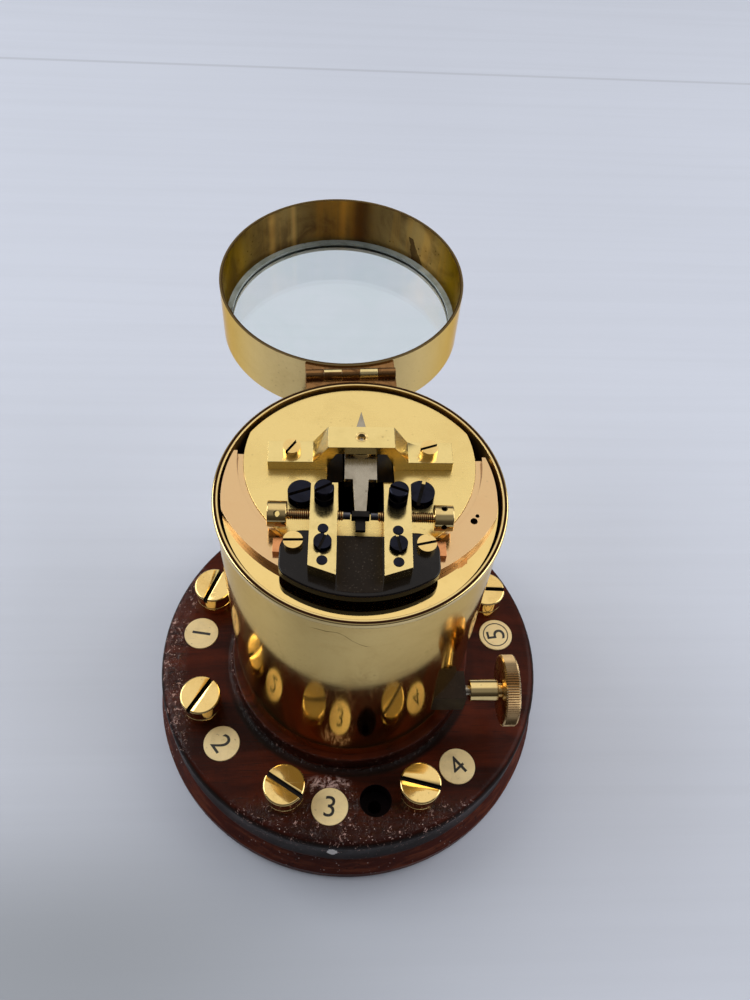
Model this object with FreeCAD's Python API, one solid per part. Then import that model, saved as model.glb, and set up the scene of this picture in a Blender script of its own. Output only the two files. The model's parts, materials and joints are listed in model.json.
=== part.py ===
"""Polarised telegraph relay: drum case with hinged glazed lid on a turned base.

Units are millimetres.  +Z is up, the origin is the centre of the base's
underside, -Y is the front, the lid hinge is at +Y and the adjusting knob
points along +X.  The lid is modelled open, folded back beside the case.
"""
import FreeCAD, Part
import math
import os

V = FreeCAD.Vector
X_AXIS = V(1, 0, 0)
Y_AXIS = V(0, 1, 0)
Z_AXIS = V(0, 0, 1)

# ---------------------------------------------------------------- base
flange_r = 82.5            # largest radius of the turned base
flange_edge_h = 5.0        # straight edge of the flange above the table
flange_top_z = 12.0        # where the flange's slope meets the cove
cove_r = 3.2               # height of the cove under the disc
cove_depth = 2.5
cove_in = 0.6              # foot of the cove inside the disc's edge
disc_r = 79.2              # upper disc of the base
base_h = 33.4              # top of the upper disc
disc_round = 3.0           # rounded top edge of the disc
boss_r = 48.9              # raised boss that carries the case
boss_h = 8.6
boss_round = 0.8
foot_chamfer = 0.8

# fixing holes of the base
fix_circle_r = 62.4
fix_angle = 278.5          # degrees from +X, the second hole is opposite
fix_hole_r = 2.6
fix_counterbore_r = 6.2
fix_counterbore_h = 9.0

# ---------------------------------------------------------------- terminals
terminal_circle_r = 64.3
terminal_angles = (155.3, 200.8, 246.2, 293.7, 22.9, 67.5, 112.5)
label_offsets = (15.6, 15.8, 16.1, 17.2, -14.8, -14.4, 14.4)
head_r = 8.0
head_h = 6.4
head_round = 0.7
slot_w = 1.8
slot_depth = 2.6
slot_turns = (68.0, 58.0, -34.0, -15.0, -3.0, 25.0, 80.0)
wire_gap = 1.2             # open space for the wire under the head
neck_lift = 0.15           # neck over the bush, so that the head can turn
neck_r = 3.2
collar_r = 7.8
collar_h = 5.0
collar_round = 0.5
bush_shank_r = 4.0
screw_shank_r = 2.4
screw_clearance = 0.06     # running fit of the screw in its bush
screw_reach = 14.0         # length of the screw's shank in the bush
nut_r = 7.0                # across the corners, half
nut_h = 4.0
nut_pocket_r = 9.0
nut_pocket_h = 11.0
wood_clearance = 0.2       # holes in the wood over the metal that passes them

label_r = 7.2
label_t = 1.6
label_proud = 0.25
label_clearance = 0.15

# ---------------------------------------------------------------- case
case_r = 46.3
case_wall = 1.2
case_h = 111.5
lip_out = 0.7              # rim stands out of the wall by this much
lip_h = 2.4
lip_round = 0.6            # rolled edges of the rim, above and below
foot_flange_w = 7.6        # turned-in foot that the frame plate clamps
foot_flange_t = 1.2
case_turn = 3.0            # degrees, hinge turned from straight behind

# ---------------------------------------------------------------- frame
frame_t = 3.6
frame_gap = 0.3            # between plates and the case's inner wall
pad_r = 7.0
pad_h = 2.6
frame_screw_r = 1.7
frame_screw_head_r = 3.4
frame_screw_head_h = 2.2
frame_screw_l = 20.0
case_screw_clearance = 0.3 # holes in the case's foot over these screws
frame_screw_circle = 41.2
frame_screw_angles = (-6.0, 186.0, 252.0)
pillar_r = 3.0
pillar_front = (33.0, -16.0)
pillar_back = (28.0, 30.5)
pillar_screw_r = 1.5
pillar_screw_head_r = 2.7
pillar_screw_head_h = 1.3
pillar_screw_l = 9.0

# ---------------------------------------------------------------- top plates
plate_drop = 1.4           # main plate's top below the rim of the case
main_t = 1.6
deck_t = 3.4
plate_gap = 1.0            # main plate to the wall of the case
pivot_y = 14.0             # axle of the armature and of the carriage
main_r = 37.9              # main plate, about the axle
window_w = 21.6            # opening over the pole pieces
window_back = 6.2          # opening reaches this far behind the axle
window_front = 9.2         # and this far in front of it
slit_w = 14.4              # narrower opening in front, under the tongue
slit_reach = 21.5          # distance of its front end from the axle
deck_back_y = 15.0
deck_inset = 1.9           # deck inside the main plate's edge at the back
plate_screw_x = 18.9
plate_screw_y = -1.2
plate_screw_head_r = 4.3
plate_screw_head_h = 3.5
plate_screw_r = 1.8

# ---------------------------------------------------------------- bridge
bridge_half = 29.9
bridge_w = 8.4
bridge_top_half = 10.5
bridge_foot_half = 15.4    # outer start of the risers
bridge_foot_t = 4.0
bridge_rise = 11.7         # top of the bridge above the main plate
bridge_top_t = 3.5
bridge_arch_top = 8.0      # half width of the arch at its top
bridge_arch_foot = 11.6    # half width of the arch at the plate
bridge_screw_x = 22.1
bridge_screw_head_r = 2.9
bridge_screw_head_h = 3.0
bridge_screw_r = 1.5
bearing_r = 1.9
oil_sink_r = 1.4
oil_sink_h = 0.9

# ---------------------------------------------------------------- electromagnet
coil_x = 20.0
core_r = 5.0
bobbin_r = 13.4
bobbin_cheek_t = 2.4
winding_r = 12.5
bobbin_tube_t = 1.0
shoe_t = 5.0
shoe_w = 11.0
upper_lip_w = 4.8          # upper pole tip standing beside the armature
lower_lip_w = 5.0
pole_lip_h = 7.4           # height of the upper pole tips above their shoes
lower_tip_h = 2.0
pole_top_drop = 0.4        # upper pole tips below the main plate's top
air_gap = 0.6
pole_window_gap = 0.5      # pole tips inside the main plate's opening
bobbin_gap = 0.5           # bobbins between the pole shoes
lower_armature_lift = 0.2  # lower armature over the foot of its shoes
armature_w = 10.2
armature_l = 11.6
armature_h = 6.6
armature_below_tips = 0.5

magnet_t = 5.2
magnet_span = 60.0         # degrees
magnet_gap = 0.9           # magnet to the case's wall
magnet_foot_h = 10.0
magnet_shoe_w = 9.0
magnet_shoe_t = 5.0
magnet_air = 0.5           # shoe to the axle

# ---------------------------------------------------------------- armature
axle_r = 2.0
pivot_r = 0.65
pivot_clearance = 0.05
pivot_l = 2.2
end_shake = 0.15
hub_r = 4.4
hub_h = 1.4
hub_gap = 0.35             # hub below the bridge's arch
tongue_t = 1.6
tongue_root_w = 10.2
tongue_root_front = 13.1   # from the axle to the shoulder
tongue_neck_w = 4.9
tongue_tip_w = 3.5
tail_l = 14.6
tail_root_w = 4.4
tail_corner = 2.0          # corners cut off beside the tail

# ---------------------------------------------------------------- carriage
carriage_set = -1.5        # degrees, how the carriage and tongue are set
slide_gap = 0.1            # carriage over the deck
carriage_t = 3.0
carriage_in_r = 39.9
carriage_out_r = 48.4
carriage_end = 1.75        # degrees past the straight line, each end
ledge_t = 1.0              # thin inner ledge that runs on the main plate
journal_clearance = 0.08
carriage_wall_gap = 1.3
carriage_hole_r = (1.15, 0.65)
carriage_hole_at = ((35.7, -10.0), (36.9, -8.0))

block_t = 3.0
block_back = 30.7          # from the axle to the block's straight back edge
block_notch = 1.8          # back edge set forward between the bars
block_front_r = 39.4       # front edge, about the case's centre
block_half = 24.2
block_corner = 7.0
block_side_round = 5.0
block_edge_round = 0.5     # rounded upper edge
crossbar_half = 26.2
crossbar_w = 5.0
crossbar_h = 1.9
crossbar_from_axle = 35.6
block_screw_x = 20.1
block_screw_from_axle = 35.5
block_screw_head_r = 3.0
block_screw_head_h = 1.9
block_screw_r = 1.4

bar_x = 11.2
bar_w = 8.3
bar_t = 5.0
bar_back = 16.4            # from the axle
bar_front_out = 46.0       # outer corner of the oblique front end
bar_front_in = 49.0
bar_slit_t = 0.8
contact_from_axle = 26.9
contact_gap = 0.35         # tongue to each contact
contact_screw_r = 1.7
contact_tip_r = 1.2
contact_tip_l = 2.2
contact_head_r = 4.0
contact_head_l = 5.9
contact_head_at = 22.3
contact_head_round = 0.3
tommy_r = 0.95
tommy_turn = (33, -12)     # tommy holes of the left and right head, degrees from upright
contact_clearance = 0.05
clamp_from_axle = 22.6
clamp_head_r = 3.0
clamp_head_h = 6.4
clamp_waist = 0.5
clamp_waist_h = 0.6
clamp_foot_share = 0.42    # part of the head below its waist
clamp_round = 0.5
clamp_slot_w = 0.9
clamp_slot_depth = 1.3
clamp_screw_r = 1.2
bar_screw_from_axle = 38.7
bar_screw_head_r = 2.7
bar_screw_head_h = 1.8
bar_screw_r = 1.3
bar_screw_clear = 0.5      # notch in the crossbar round each bar screw
bar_screw_short = 0.6      # screw ends this far above the carriage plate
dowel_from_axle = (33.3, 44.3)
dowel_r = 1.6
dowel_proud = 0.3

tee_half = 2.75            # contact piece at the tongue's end
tee_w = 2.2
tee_h = 2.6
stem_w = 3.0
stem_t = 1.2
stem_gap = 0.4             # stem to the block's back edge

# ---------------------------------------------------------------- adjusting screw
adjust_y = -30.2
adjust_z = 66.0
thread_r = 1.9
thread_end = -9.0
thread_to = 17.0
spindle_short = 0.4        # spindle's end inside the knob's outer face
knob_neck_wall = 0.9
spindle_r = 2.5
bracket_x = 22.0
bracket_t = 5.0
bracket_w = 9.6
bracket_over = 6.0
bracket_foot_l = 8.0
bracket_foot_t = 3.0
stop_collar_r = 4.0
stop_collar_t = 1.8
collar_float = 0.1
spindle_clearance = 0.06
nut_block = 10.0
nut_clearance = 0.42       # lets the nut follow its small arc
arm_w = 8.0
arm_t = 4.4
arm_play = 1.8             # room for the arm in the deck's slot, each way
arm_slot_gap = 0.7         # and in front of it and behind it
case_hole_over = 0.9       # hole in the case over the spindle
guide_half = 5.5           # square ebonite guide outside the case
guide_end_x = 41.8
sleeve_r = 4.1
sleeve_from = 44.0
sleeve_to = 54.7
knob_from = 55.8
knob_t = 5.6
knob_r = 13.4
knob_round = 0.7

# ---------------------------------------------------------------- lid
lid_r = 46.3
lid_wall = 1.2
lid_h = 24.6
lid_round = 1.2
glass_seat_t = 1.4
glass_seat_in_r = 42.9
glass_t = 2.4
glass_gap = 0.2
glass_bevel = 0.8
glass_ring_w = 1.4
glass_ring_t = 1.1
hinge_out = 3.3            # hinge axis outside the rim's lip
hinge_lift = 0.15          # hinge axis above the rim
leaf_half = 15.65
leaf_t = 1.2
leaf_drop = 10.5
knuckle_r = 1.9
knuckle_gap = 0.16
knuckle_count = 5
leaf_below_axis = 0.8      # upper face of the leaves under the axis
hinge_pin_r = 0.9
hinge_clearance = 0.05
notch_gap = 0.3

# ---------------------------------------------------------------- levels
boss_top_z = base_h + boss_h
frame_z = boss_top_z + foot_flange_t
frame_top_z = frame_z + frame_t
rim_z = boss_top_z + case_h
main_top_z = rim_z - plate_drop
main_z = main_top_z - main_t
deck_z = main_z - deck_t
carriage_z = main_z + slide_gap
carriage_top_z = carriage_z + carriage_t
block_top_z = carriage_top_z + block_t
bar_top_z = block_top_z + bar_t
contact_z = block_top_z + bar_t / 2
bridge_top_z = main_top_z + bridge_rise
arch_z = bridge_top_z - bridge_top_t
pole_top_z = main_top_z - pole_top_drop
upper_shoe_z = pole_top_z - pole_lip_h - shoe_t
lower_shoe_z = frame_top_z + pad_h
lower_shoe_top_z = lower_shoe_z + shoe_t
magnet_z = frame_top_z + magnet_foot_h
magnet_top_z = upper_shoe_z + shoe_t
tongue_z = contact_z - tongue_t
case_in_r = case_r - case_wall
plate_r = case_in_r - frame_gap
hinge_z = rim_z + hinge_lift
hinge_y = case_r + lip_out + hinge_out
lid_y = 2 * hinge_y
lid_top_z = hinge_z - hinge_lift
PIVOT = V(0, pivot_y, 0)


# ---------------------------------------------------------------- helpers
def cyl(radius, height, base, axis=Z_AXIS):
    return Part.makeCylinder(radius, height, base, axis)


def tube(outer, inner, height, base, axis=Z_AXIS):
    start = base - axis
    return cyl(outer, height, base, axis).cut(cyl(inner, height + 2, start, axis))


def span_box(x0, x1, y0, y1, z0, z1):
    return Part.makeBox(x1 - x0, y1 - y0, z1 - z0, V(x0, y0, z0))


def prism(points, vector):
    wire = Part.makePolygon(list(points) + [points[0]])
    return Part.Face(wire).extrude(vector)


def fused(shapes):
    result = shapes[0]
    if len(shapes) > 1:
        result = result.multiFuse(shapes[1:])
    return result.removeSplitter()


def cut_all(shape, tools):
    return shape.cut(Part.makeCompound(tools))


def turned(shape, angle, centre=V(0, 0, 0), axis=Z_AXIS):
    copy = shape.copy()
    copy.rotate(centre, axis, angle)
    return copy


def moved(shape, vector):
    copy = shape.copy()
    copy.translate(vector)
    return copy


def mirror_x(shape):
    return shape.mirror(V(0, 0, 0), X_AXIS)


def on_circle(radius, angle, z=0.0):
    t = math.radians(angle)
    return V(radius * math.cos(t), radius * math.sin(t), z)


def round_edges(shape, radius, keep):
    edges = [edge for edge in shape.Edges if keep(edge)]
    return shape.makeFillet(radius, edges)


def is_circle_at(edge, z, radius):
    curve = edge.Curve
    flat = hasattr(curve, "Radius") and abs(curve.Center.z - z) < 1e-4
    return flat and abs(curve.Radius - radius) < 1e-4


def is_rim(edge, radius):
    curve = edge.Curve
    return hasattr(curve, "Radius") and abs(curve.Radius - radius) < 1e-4


def wedge(reach, half_angle, z0, z1, middle=90.0):
    """Upright wedge with its edge on the Z axis, symmetrical about the angle middle."""
    side = on_circle(reach, half_angle)
    points = [V(0, 0, z0), V(side.x, side.y, z0), V(reach, 0, z0), V(side.x, -side.y, z0)]
    return turned(prism(points, V(0, 0, z1 - z0)), middle)


def sector(outer, inner, half_angle, z0, z1, middle=90.0):
    """Ring sector about the Z axis, symmetrical about the angle middle."""
    ring = tube(outer, inner, z1 - z0, V(0, 0, z0))
    return ring.common(wedge(2 * outer, half_angle, z0 - 1, z1 + 1, middle))


def quarter_round(start, end, corner):
    """Arc from start to end that bulges towards the corner between them."""
    centre = start + end - corner
    radius = start.distanceToPoint(centre)
    middle = centre + (corner - centre).normalize() * radius
    return Part.Arc(start, middle, end).toShape()


def slotted_head(radius, height, base, width, depth, angle, edge_round=0.0):
    """Cheese head with a screwdriver slot across its top."""
    head = cyl(radius, height, base)
    top = base.z + height
    if edge_round:
        head = round_edges(head, edge_round, lambda e: is_circle_at(e, top, radius))
    reach = radius + 1
    slot = span_box(-reach, reach, -width / 2, width / 2, top - depth, top + 1)
    slot = moved(turned(slot, angle), V(base.x, base.y, 0))
    return head.cut(slot)


def screw(head_radius, head_height, shank_r, length, seat, angle, width=0.9):
    """Slotted screw standing on the point seat, its shank going down."""
    depth = head_height * 0.45
    head = slotted_head(head_radius, head_height, seat, width, depth, angle)
    shank = cyl(shank_r, length, seat - V(0, 0, length))
    return fused([head, shank])


def carried(shape):
    """Turn a piece of the carriage or the armature to its set position."""
    return turned(shape, carriage_set, PIVOT)


def hinged(shape):
    """Turn a piece of the hinge or the lid with the case."""
    return turned(shape, case_turn)


def save(name, solids):
    shape = solids if not isinstance(solids, list) else Part.makeCompound(solids)
    shape.exportStep("parts/" + name + ".step")


# ---------------------------------------------------------------- base pieces
def terminal_spots():
    return [on_circle(terminal_circle_r, angle) for angle in terminal_angles]


def label_spots():
    pairs = zip(terminal_angles, label_offsets)
    return [on_circle(terminal_circle_r, angle + turn) for angle, turn in pairs]


def frame_screw_spots():
    return [on_circle(frame_screw_circle, angle) for angle in frame_screw_angles]


def fix_spots():
    return [on_circle(fix_circle_r, fix_angle), on_circle(fix_circle_r, fix_angle + 180)]


def make_base():
    start = V(0, 0, 0)
    points = [start, V(flange_r - foot_chamfer, 0, 0), V(flange_r, 0, foot_chamfer)]
    points.append(V(flange_r, 0, flange_edge_h))
    cove_start = V(disc_r - cove_in, 0, flange_top_z)
    points.append(cove_start)
    edges = [Part.makeLine(a, b) for a, b in zip(points[:-1], points[1:])]
    cove_end = V(disc_r, 0, flange_top_z + cove_r)
    cove_middle = (cove_start + cove_end) * 0.5 - V(cove_depth, 0, 0)
    edges.append(Part.Arc(cove_start, cove_middle, cove_end).toShape())
    top_start = V(disc_r, 0, base_h - disc_round)
    top_end = V(disc_r - disc_round, 0, base_h)
    edges.append(Part.makeLine(cove_end, top_start))
    edges.append(quarter_round(top_start, top_end, V(disc_r, 0, base_h)))
    boss_foot = V(boss_r, 0, base_h)
    boss_start = V(boss_r, 0, boss_top_z - boss_round)
    boss_end = V(boss_r - boss_round, 0, boss_top_z)
    edges.append(Part.makeLine(top_end, boss_foot))
    edges.append(Part.makeLine(boss_foot, boss_start))
    edges.append(quarter_round(boss_start, boss_end, V(boss_r, 0, boss_top_z)))
    edges.append(Part.makeLine(boss_end, V(0, 0, boss_top_z)))
    edges.append(Part.makeLine(V(0, 0, boss_top_z), start))
    body = Part.Face(Part.Wire(edges)).revolve(start, Z_AXIS, 360)
    tools = []
    for spot in terminal_spots():
        tools.append(cyl(bush_shank_r + wood_clearance, base_h + 2, spot - Z_AXIS))
        tools.append(cyl(nut_pocket_r, nut_pocket_h + 1, spot - Z_AXIS))
    for spot in label_spots():
        floor = V(spot.x, spot.y, base_h - (label_t - label_proud))
        tools.append(cyl(label_r + label_clearance, label_t + 1, floor))
    for spot in fix_spots():
        tools.append(cyl(fix_hole_r, base_h + 2, spot - Z_AXIS))
        floor = V(spot.x, spot.y, base_h - fix_counterbore_h)
        tools.append(cyl(fix_counterbore_r, fix_counterbore_h + 1, floor))
    depth = frame_screw_l - frame_t - foot_flange_t
    for spot in frame_screw_spots():
        tools.append(cyl(frame_screw_r, depth + 3, spot + V(0, 0, boss_top_z - depth)))
    return cut_all(body, tools)


def make_labels():
    floor = base_h - (label_t - label_proud)
    return [cyl(label_r, label_t, V(p.x, p.y, floor)) for p in label_spots()]


def make_bush(spot):
    collar = cyl(collar_r, collar_h, V(spot.x, spot.y, base_h))
    top = base_h + collar_h
    collar = round_edges(collar, collar_round, lambda e: is_circle_at(e, top, collar_r))
    foot_z = nut_pocket_h - nut_h - 1
    shank = cyl(bush_shank_r, base_h - foot_z, V(spot.x, spot.y, foot_z))
    bore_z = base_h + collar_h - screw_reach - 1
    bore = cyl(screw_shank_r + screw_clearance, screw_reach + 2, V(spot.x, spot.y, bore_z))
    return fused([collar, shank]).cut(bore)


def make_nut(spot):
    corners = [on_circle(nut_r, 60 * k) for k in range(6)]
    foot = V(spot.x, spot.y, nut_pocket_h - nut_h)
    nut = moved(prism(corners, V(0, 0, nut_h)), foot)
    return nut.cut(cyl(bush_shank_r, nut_h + 2, foot - Z_AXIS))


def make_terminal(spot, turn):
    seat = V(spot.x, spot.y, base_h + collar_h + wire_gap)
    head = slotted_head(head_r, head_h, seat, slot_w, slot_depth, turn, head_round)
    neck_h = wire_gap - neck_lift
    neck = cyl(neck_r, neck_h, seat - V(0, 0, neck_h))
    shank = cyl(screw_shank_r, screw_reach + wire_gap, seat - V(0, 0, screw_reach + wire_gap))
    return fused([head, neck, shank])


# ---------------------------------------------------------------- case and frame
def adjust_point(x):
    return V(x, adjust_y, adjust_z)


def make_case():
    wall = tube(case_r, case_in_r, case_h, V(0, 0, boss_top_z))
    lip_r = case_r + lip_out
    lip = tube(lip_r, case_in_r, lip_h, V(0, 0, rim_z - lip_h))
    lip = round_edges(lip, lip_round, lambda e: is_circle_at(e, rim_z, lip_r))
    lip = round_edges(lip, lip_round, lambda e: is_circle_at(e, rim_z - lip_h, lip_r))
    foot = tube(case_r, case_in_r - foot_flange_w, foot_flange_t, V(0, 0, boss_top_z))
    case = fused([wall, lip, foot])
    tools = [cyl(spindle_r + case_hole_over, case_r, adjust_point(0), X_AXIS)]
    for spot in frame_screw_spots():
        start = spot + V(0, 0, boss_top_z - 1)
        tools.append(cyl(frame_screw_r + case_screw_clearance, foot_flange_t + 2, start))
    return cut_all(case, tools)


def make_guide():
    block = span_box(0, guide_end_x, adjust_y - guide_half, adjust_y + guide_half,
                     adjust_z - guide_half, adjust_z + guide_half)
    block = block.cut(cyl(case_r, case_h, V(0, 0, boss_top_z)))
    bore = cyl(spindle_r + spindle_clearance, guide_end_x + 1, adjust_point(0), X_AXIS)
    return block.cut(bore)


def make_frame_plate():
    plate = cyl(plate_r, frame_t, V(0, 0, frame_z))
    pads = [plate]
    for side in (-1, 1):
        pads.append(cyl(pad_r, pad_h, V(side * coil_x, pivot_y, frame_top_z)))
    plate = fused(pads)
    low = V(0, 0, frame_z - 1)
    tools = [cyl(frame_screw_r, frame_t + 2, spot + low) for spot in frame_screw_spots()]
    tools.append(cyl(bearing_r, frame_t + 2, V(0, pivot_y, frame_z - 1)))
    return cut_all(plate, tools)


def make_frame_screws():
    screws = []
    for spot in frame_screw_spots():
        seat = spot + V(0, 0, frame_top_z)
        screws.append(screw(frame_screw_head_r, frame_screw_head_h, frame_screw_r,
                            frame_screw_l, seat, 35, 1.0))
    return screws


def pillar_spots():
    spots = []
    for x, y in (pillar_front, pillar_back):
        spots.append(V(-x, y, 0))
        spots.append(V(x, y, 0))
    return spots


def make_pillars():
    height = deck_z - frame_top_z
    pillars = []
    for spot in pillar_spots():
        column = cyl(pillar_r, height, spot + V(0, 0, frame_top_z))
        depth = pillar_screw_l - deck_t
        hole = cyl(pillar_screw_r, depth + 1, spot + V(0, 0, deck_z - depth))
        pillars.append(column.cut(hole))
    return pillars


def make_pillar_screws():
    screws = []
    for spot in pillar_spots():
        seat = spot + V(0, 0, main_z - pillar_screw_head_h)
        head = cyl(pillar_screw_head_r, pillar_screw_head_h, seat)
        length = pillar_screw_l - pillar_screw_head_h
        shank = cyl(pillar_screw_r, length, seat - V(0, 0, length))
        screws.append(fused([head, shank]))
    return screws


def window_tools(z0, z1, spare=0.0):
    """Opening over the poles and the narrower slit in front of it."""
    half = window_w / 2 + spare
    wide = span_box(-half, half, pivot_y - window_front, pivot_y + window_back + spare, z0, z1)
    half = slit_w / 2 + spare
    slit = span_box(-half, half, pivot_y - slit_reach, pivot_y - window_front + 1, z0, z1)
    return [wide, slit]


def make_deck():
    disc = cyl(case_in_r - plate_gap, deck_t, V(0, 0, deck_z))
    front = span_box(-case_r, case_r, -case_r, deck_back_y, deck_z - 1, main_z + 1)
    under_main = cyl(main_r - deck_inset, deck_t, V(0, pivot_y, deck_z))
    deck = fused([disc.common(front), disc.common(under_main)])
    tools = window_tools(deck_z - 1, main_z + 1)
    for spot in pillar_spots():
        tools.append(cyl(pillar_screw_r, deck_t + 2, spot + V(0, 0, deck_z - 1)))
        seat = spot + V(0, 0, main_z - pillar_screw_head_h)
        tools.append(cyl(pillar_screw_head_r, pillar_screw_head_h + 1, seat))
    half = arm_w / 2 + arm_play
    deep = arm_t / 2 + arm_slot_gap
    slot = span_box(-half, half, adjust_y - deep, adjust_y + deep, deck_z - 1, main_z + 1)
    tools.append(carried(slot))
    for side in (-1, 1):
        spot = V(side * plate_screw_x, plate_screw_y, deck_z - 1)
        tools.append(cyl(plate_screw_r, deck_t + 2, spot))
    return cut_all(deck, tools)


def make_main_plate():
    plate = cyl(case_in_r - plate_gap, main_t, V(0, 0, main_z))
    plate = plate.common(cyl(main_r, main_t, V(0, pivot_y, main_z)))
    tools = window_tools(main_z - 1, main_top_z + 1)
    for side in (-1, 1):
        spot = V(side * plate_screw_x, plate_screw_y, main_z - 1)
        tools.append(cyl(plate_screw_r, main_t + 2, spot))
        spot = V(side * bridge_screw_x, pivot_y, main_z - 1)
        tools.append(cyl(bridge_screw_r, main_t + 2, spot))
    return cut_all(plate, tools)


def make_plate_screws():
    screws = []
    for side, turn in ((-1, 20), (1, 75)):
        seat = V(side * plate_screw_x, plate_screw_y, main_top_z)
        screws.append(screw(plate_screw_head_r, plate_screw_head_h, plate_screw_r,
                            main_t + deck_t, seat, turn, 1.1))
    return screws


# ---------------------------------------------------------------- bridge
def make_bridge():
    foot_top_z = main_top_z + bridge_foot_t
    outline = [(bridge_half, main_top_z), (bridge_half, foot_top_z),
               (bridge_foot_half, foot_top_z), (bridge_top_half, bridge_top_z)]
    inner = [(bridge_arch_top, arch_z), (bridge_arch_foot, main_top_z)]
    right = [V(x, 0, z) for x, z in outline]
    left = [V(-x, 0, z) for x, z in reversed(outline)]
    arch_left = [V(-x, 0, z) for x, z in reversed(inner)]
    arch_right = [V(x, 0, z) for x, z in inner]
    body = prism(right + left + arch_left + arch_right, V(0, bridge_w, 0))
    body = moved(body, V(0, pivot_y - bridge_w / 2, 0))
    tools = [cyl(bearing_r, bridge_top_t + 2, V(0, pivot_y, arch_z - 1))]
    for side in (-1, 1):
        spot = V(side * bridge_screw_x, pivot_y, main_top_z - 1)
        tools.append(cyl(bridge_screw_r, bridge_foot_t + 2, spot))
    return cut_all(body, tools)


def make_bridge_screws():
    screws = []
    for side, turn in ((-1, 55), (1, 19)):
        seat = V(side * bridge_screw_x, pivot_y, main_top_z + bridge_foot_t)
        screws.append(screw(bridge_screw_head_r, bridge_screw_head_h, bridge_screw_r,
                            bridge_foot_t + main_t, seat, turn))
    return screws


def make_upper_bearing():
    bush = cyl(bearing_r, bridge_top_t, V(0, pivot_y, arch_z))
    hole = cyl(pivot_r + pivot_clearance, bridge_top_t + 2, V(0, pivot_y, arch_z - 1))
    sink = Part.makeCone(pivot_r + pivot_clearance, oil_sink_r, oil_sink_h,
                         V(0, pivot_y, bridge_top_z - oil_sink_h))
    return bush.cut(hole).cut(sink)


def make_lower_bearing():
    bush = cyl(bearing_r, frame_t, V(0, pivot_y, frame_z))
    depth = pivot_l + end_shake
    hole = cyl(pivot_r + pivot_clearance, depth + 1, V(0, pivot_y, frame_top_z - depth))
    return bush.cut(hole)


# ---------------------------------------------------------------- electromagnet
def tip_x():
    return armature_w / 2 + air_gap


def make_upper_pole():
    near = tip_x()
    back = pivot_y + shoe_w / 2
    front = pivot_y - shoe_w / 2
    shoe = span_box(near, coil_x + core_r, front, back, upper_shoe_z, upper_shoe_z + shoe_t)
    lip_back = pivot_y + window_back - pole_window_gap
    lip_front = pivot_y - window_front + pole_window_gap
    lip = span_box(near, near + upper_lip_w, lip_front, lip_back, upper_shoe_z, pole_top_z)
    return fused([shoe, lip])


def make_lower_pole():
    near = tip_x()
    half = shoe_w / 2
    shoe = span_box(near, coil_x + core_r, pivot_y - half, pivot_y + half,
                    lower_shoe_z, lower_shoe_top_z)
    tip = span_box(near, near + lower_lip_w, pivot_y - half, pivot_y + half,
                   lower_shoe_z, lower_shoe_top_z + lower_tip_h)
    return fused([shoe, tip])


def make_core():
    height = upper_shoe_z - lower_shoe_top_z
    return cyl(core_r, height, V(coil_x, pivot_y, lower_shoe_top_z))


def bobbin_span():
    """Lowest and highest level of the bobbins."""
    return lower_shoe_top_z + lower_tip_h + bobbin_gap, upper_shoe_z - bobbin_gap


def make_bobbin():
    low, high = bobbin_span()
    spot = V(coil_x, pivot_y, low)
    body = cyl(core_r + bobbin_tube_t, high - low, spot)
    cheek = cyl(bobbin_r, bobbin_cheek_t, spot)
    upper = cyl(bobbin_r, bobbin_cheek_t, V(coil_x, pivot_y, high - bobbin_cheek_t))
    whole = fused([body, cheek, upper])
    return whole.cut(cyl(core_r, high - low + 2, spot - Z_AXIS))


def make_winding():
    low, high = bobbin_span()
    height = high - low - 2 * bobbin_cheek_t
    return tube(winding_r, core_r + bobbin_tube_t, height, V(coil_x, pivot_y, low + bobbin_cheek_t))


def magnet_out_r():
    return case_in_r - magnet_gap


def make_magnet():
    inner = magnet_out_r() - magnet_t
    return sector(magnet_out_r(), inner, magnet_span / 2, magnet_z, magnet_top_z)


def make_magnet_foot():
    inner = magnet_out_r() - magnet_t
    return sector(magnet_out_r(), inner, magnet_span / 2, frame_top_z, magnet_z)


def make_magnet_shoe(z):
    half = magnet_shoe_w / 2
    bar = span_box(-half, half, pivot_y, magnet_out_r(), z, z + magnet_shoe_t)
    bar = bar.common(cyl(magnet_out_r() - magnet_t, magnet_shoe_t, V(0, 0, z)))
    return bar.cut(cyl(axle_r + magnet_air, magnet_shoe_t + 2, V(0, pivot_y, z - 1)))


# ---------------------------------------------------------------- armature
def lower_armature_z():
    return lower_shoe_z + lower_armature_lift


def upper_armature_z():
    return pole_top_z - armature_below_tips - armature_h


def make_axle():
    bottom = frame_top_z + end_shake
    top = arch_z - end_shake
    spot = V(0, pivot_y, bottom)
    rod = cyl(axle_r, top - bottom, spot)
    low = cyl(pivot_r, pivot_l, spot - V(0, 0, pivot_l))
    high = cyl(pivot_r, pivot_l + end_shake, V(0, pivot_y, top))
    return fused([rod, low, high])


def make_armature(z):
    half_w = armature_w / 2
    half_l = armature_l / 2
    block = span_box(-half_w, half_w, pivot_y - half_l, pivot_y + half_l, z, z + armature_h)
    return block.cut(cyl(axle_r, armature_h + 2, V(0, pivot_y, z - 1)))


def tongue_tip_y():
    return pivot_y - contact_from_axle + tee_w / 2


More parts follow.
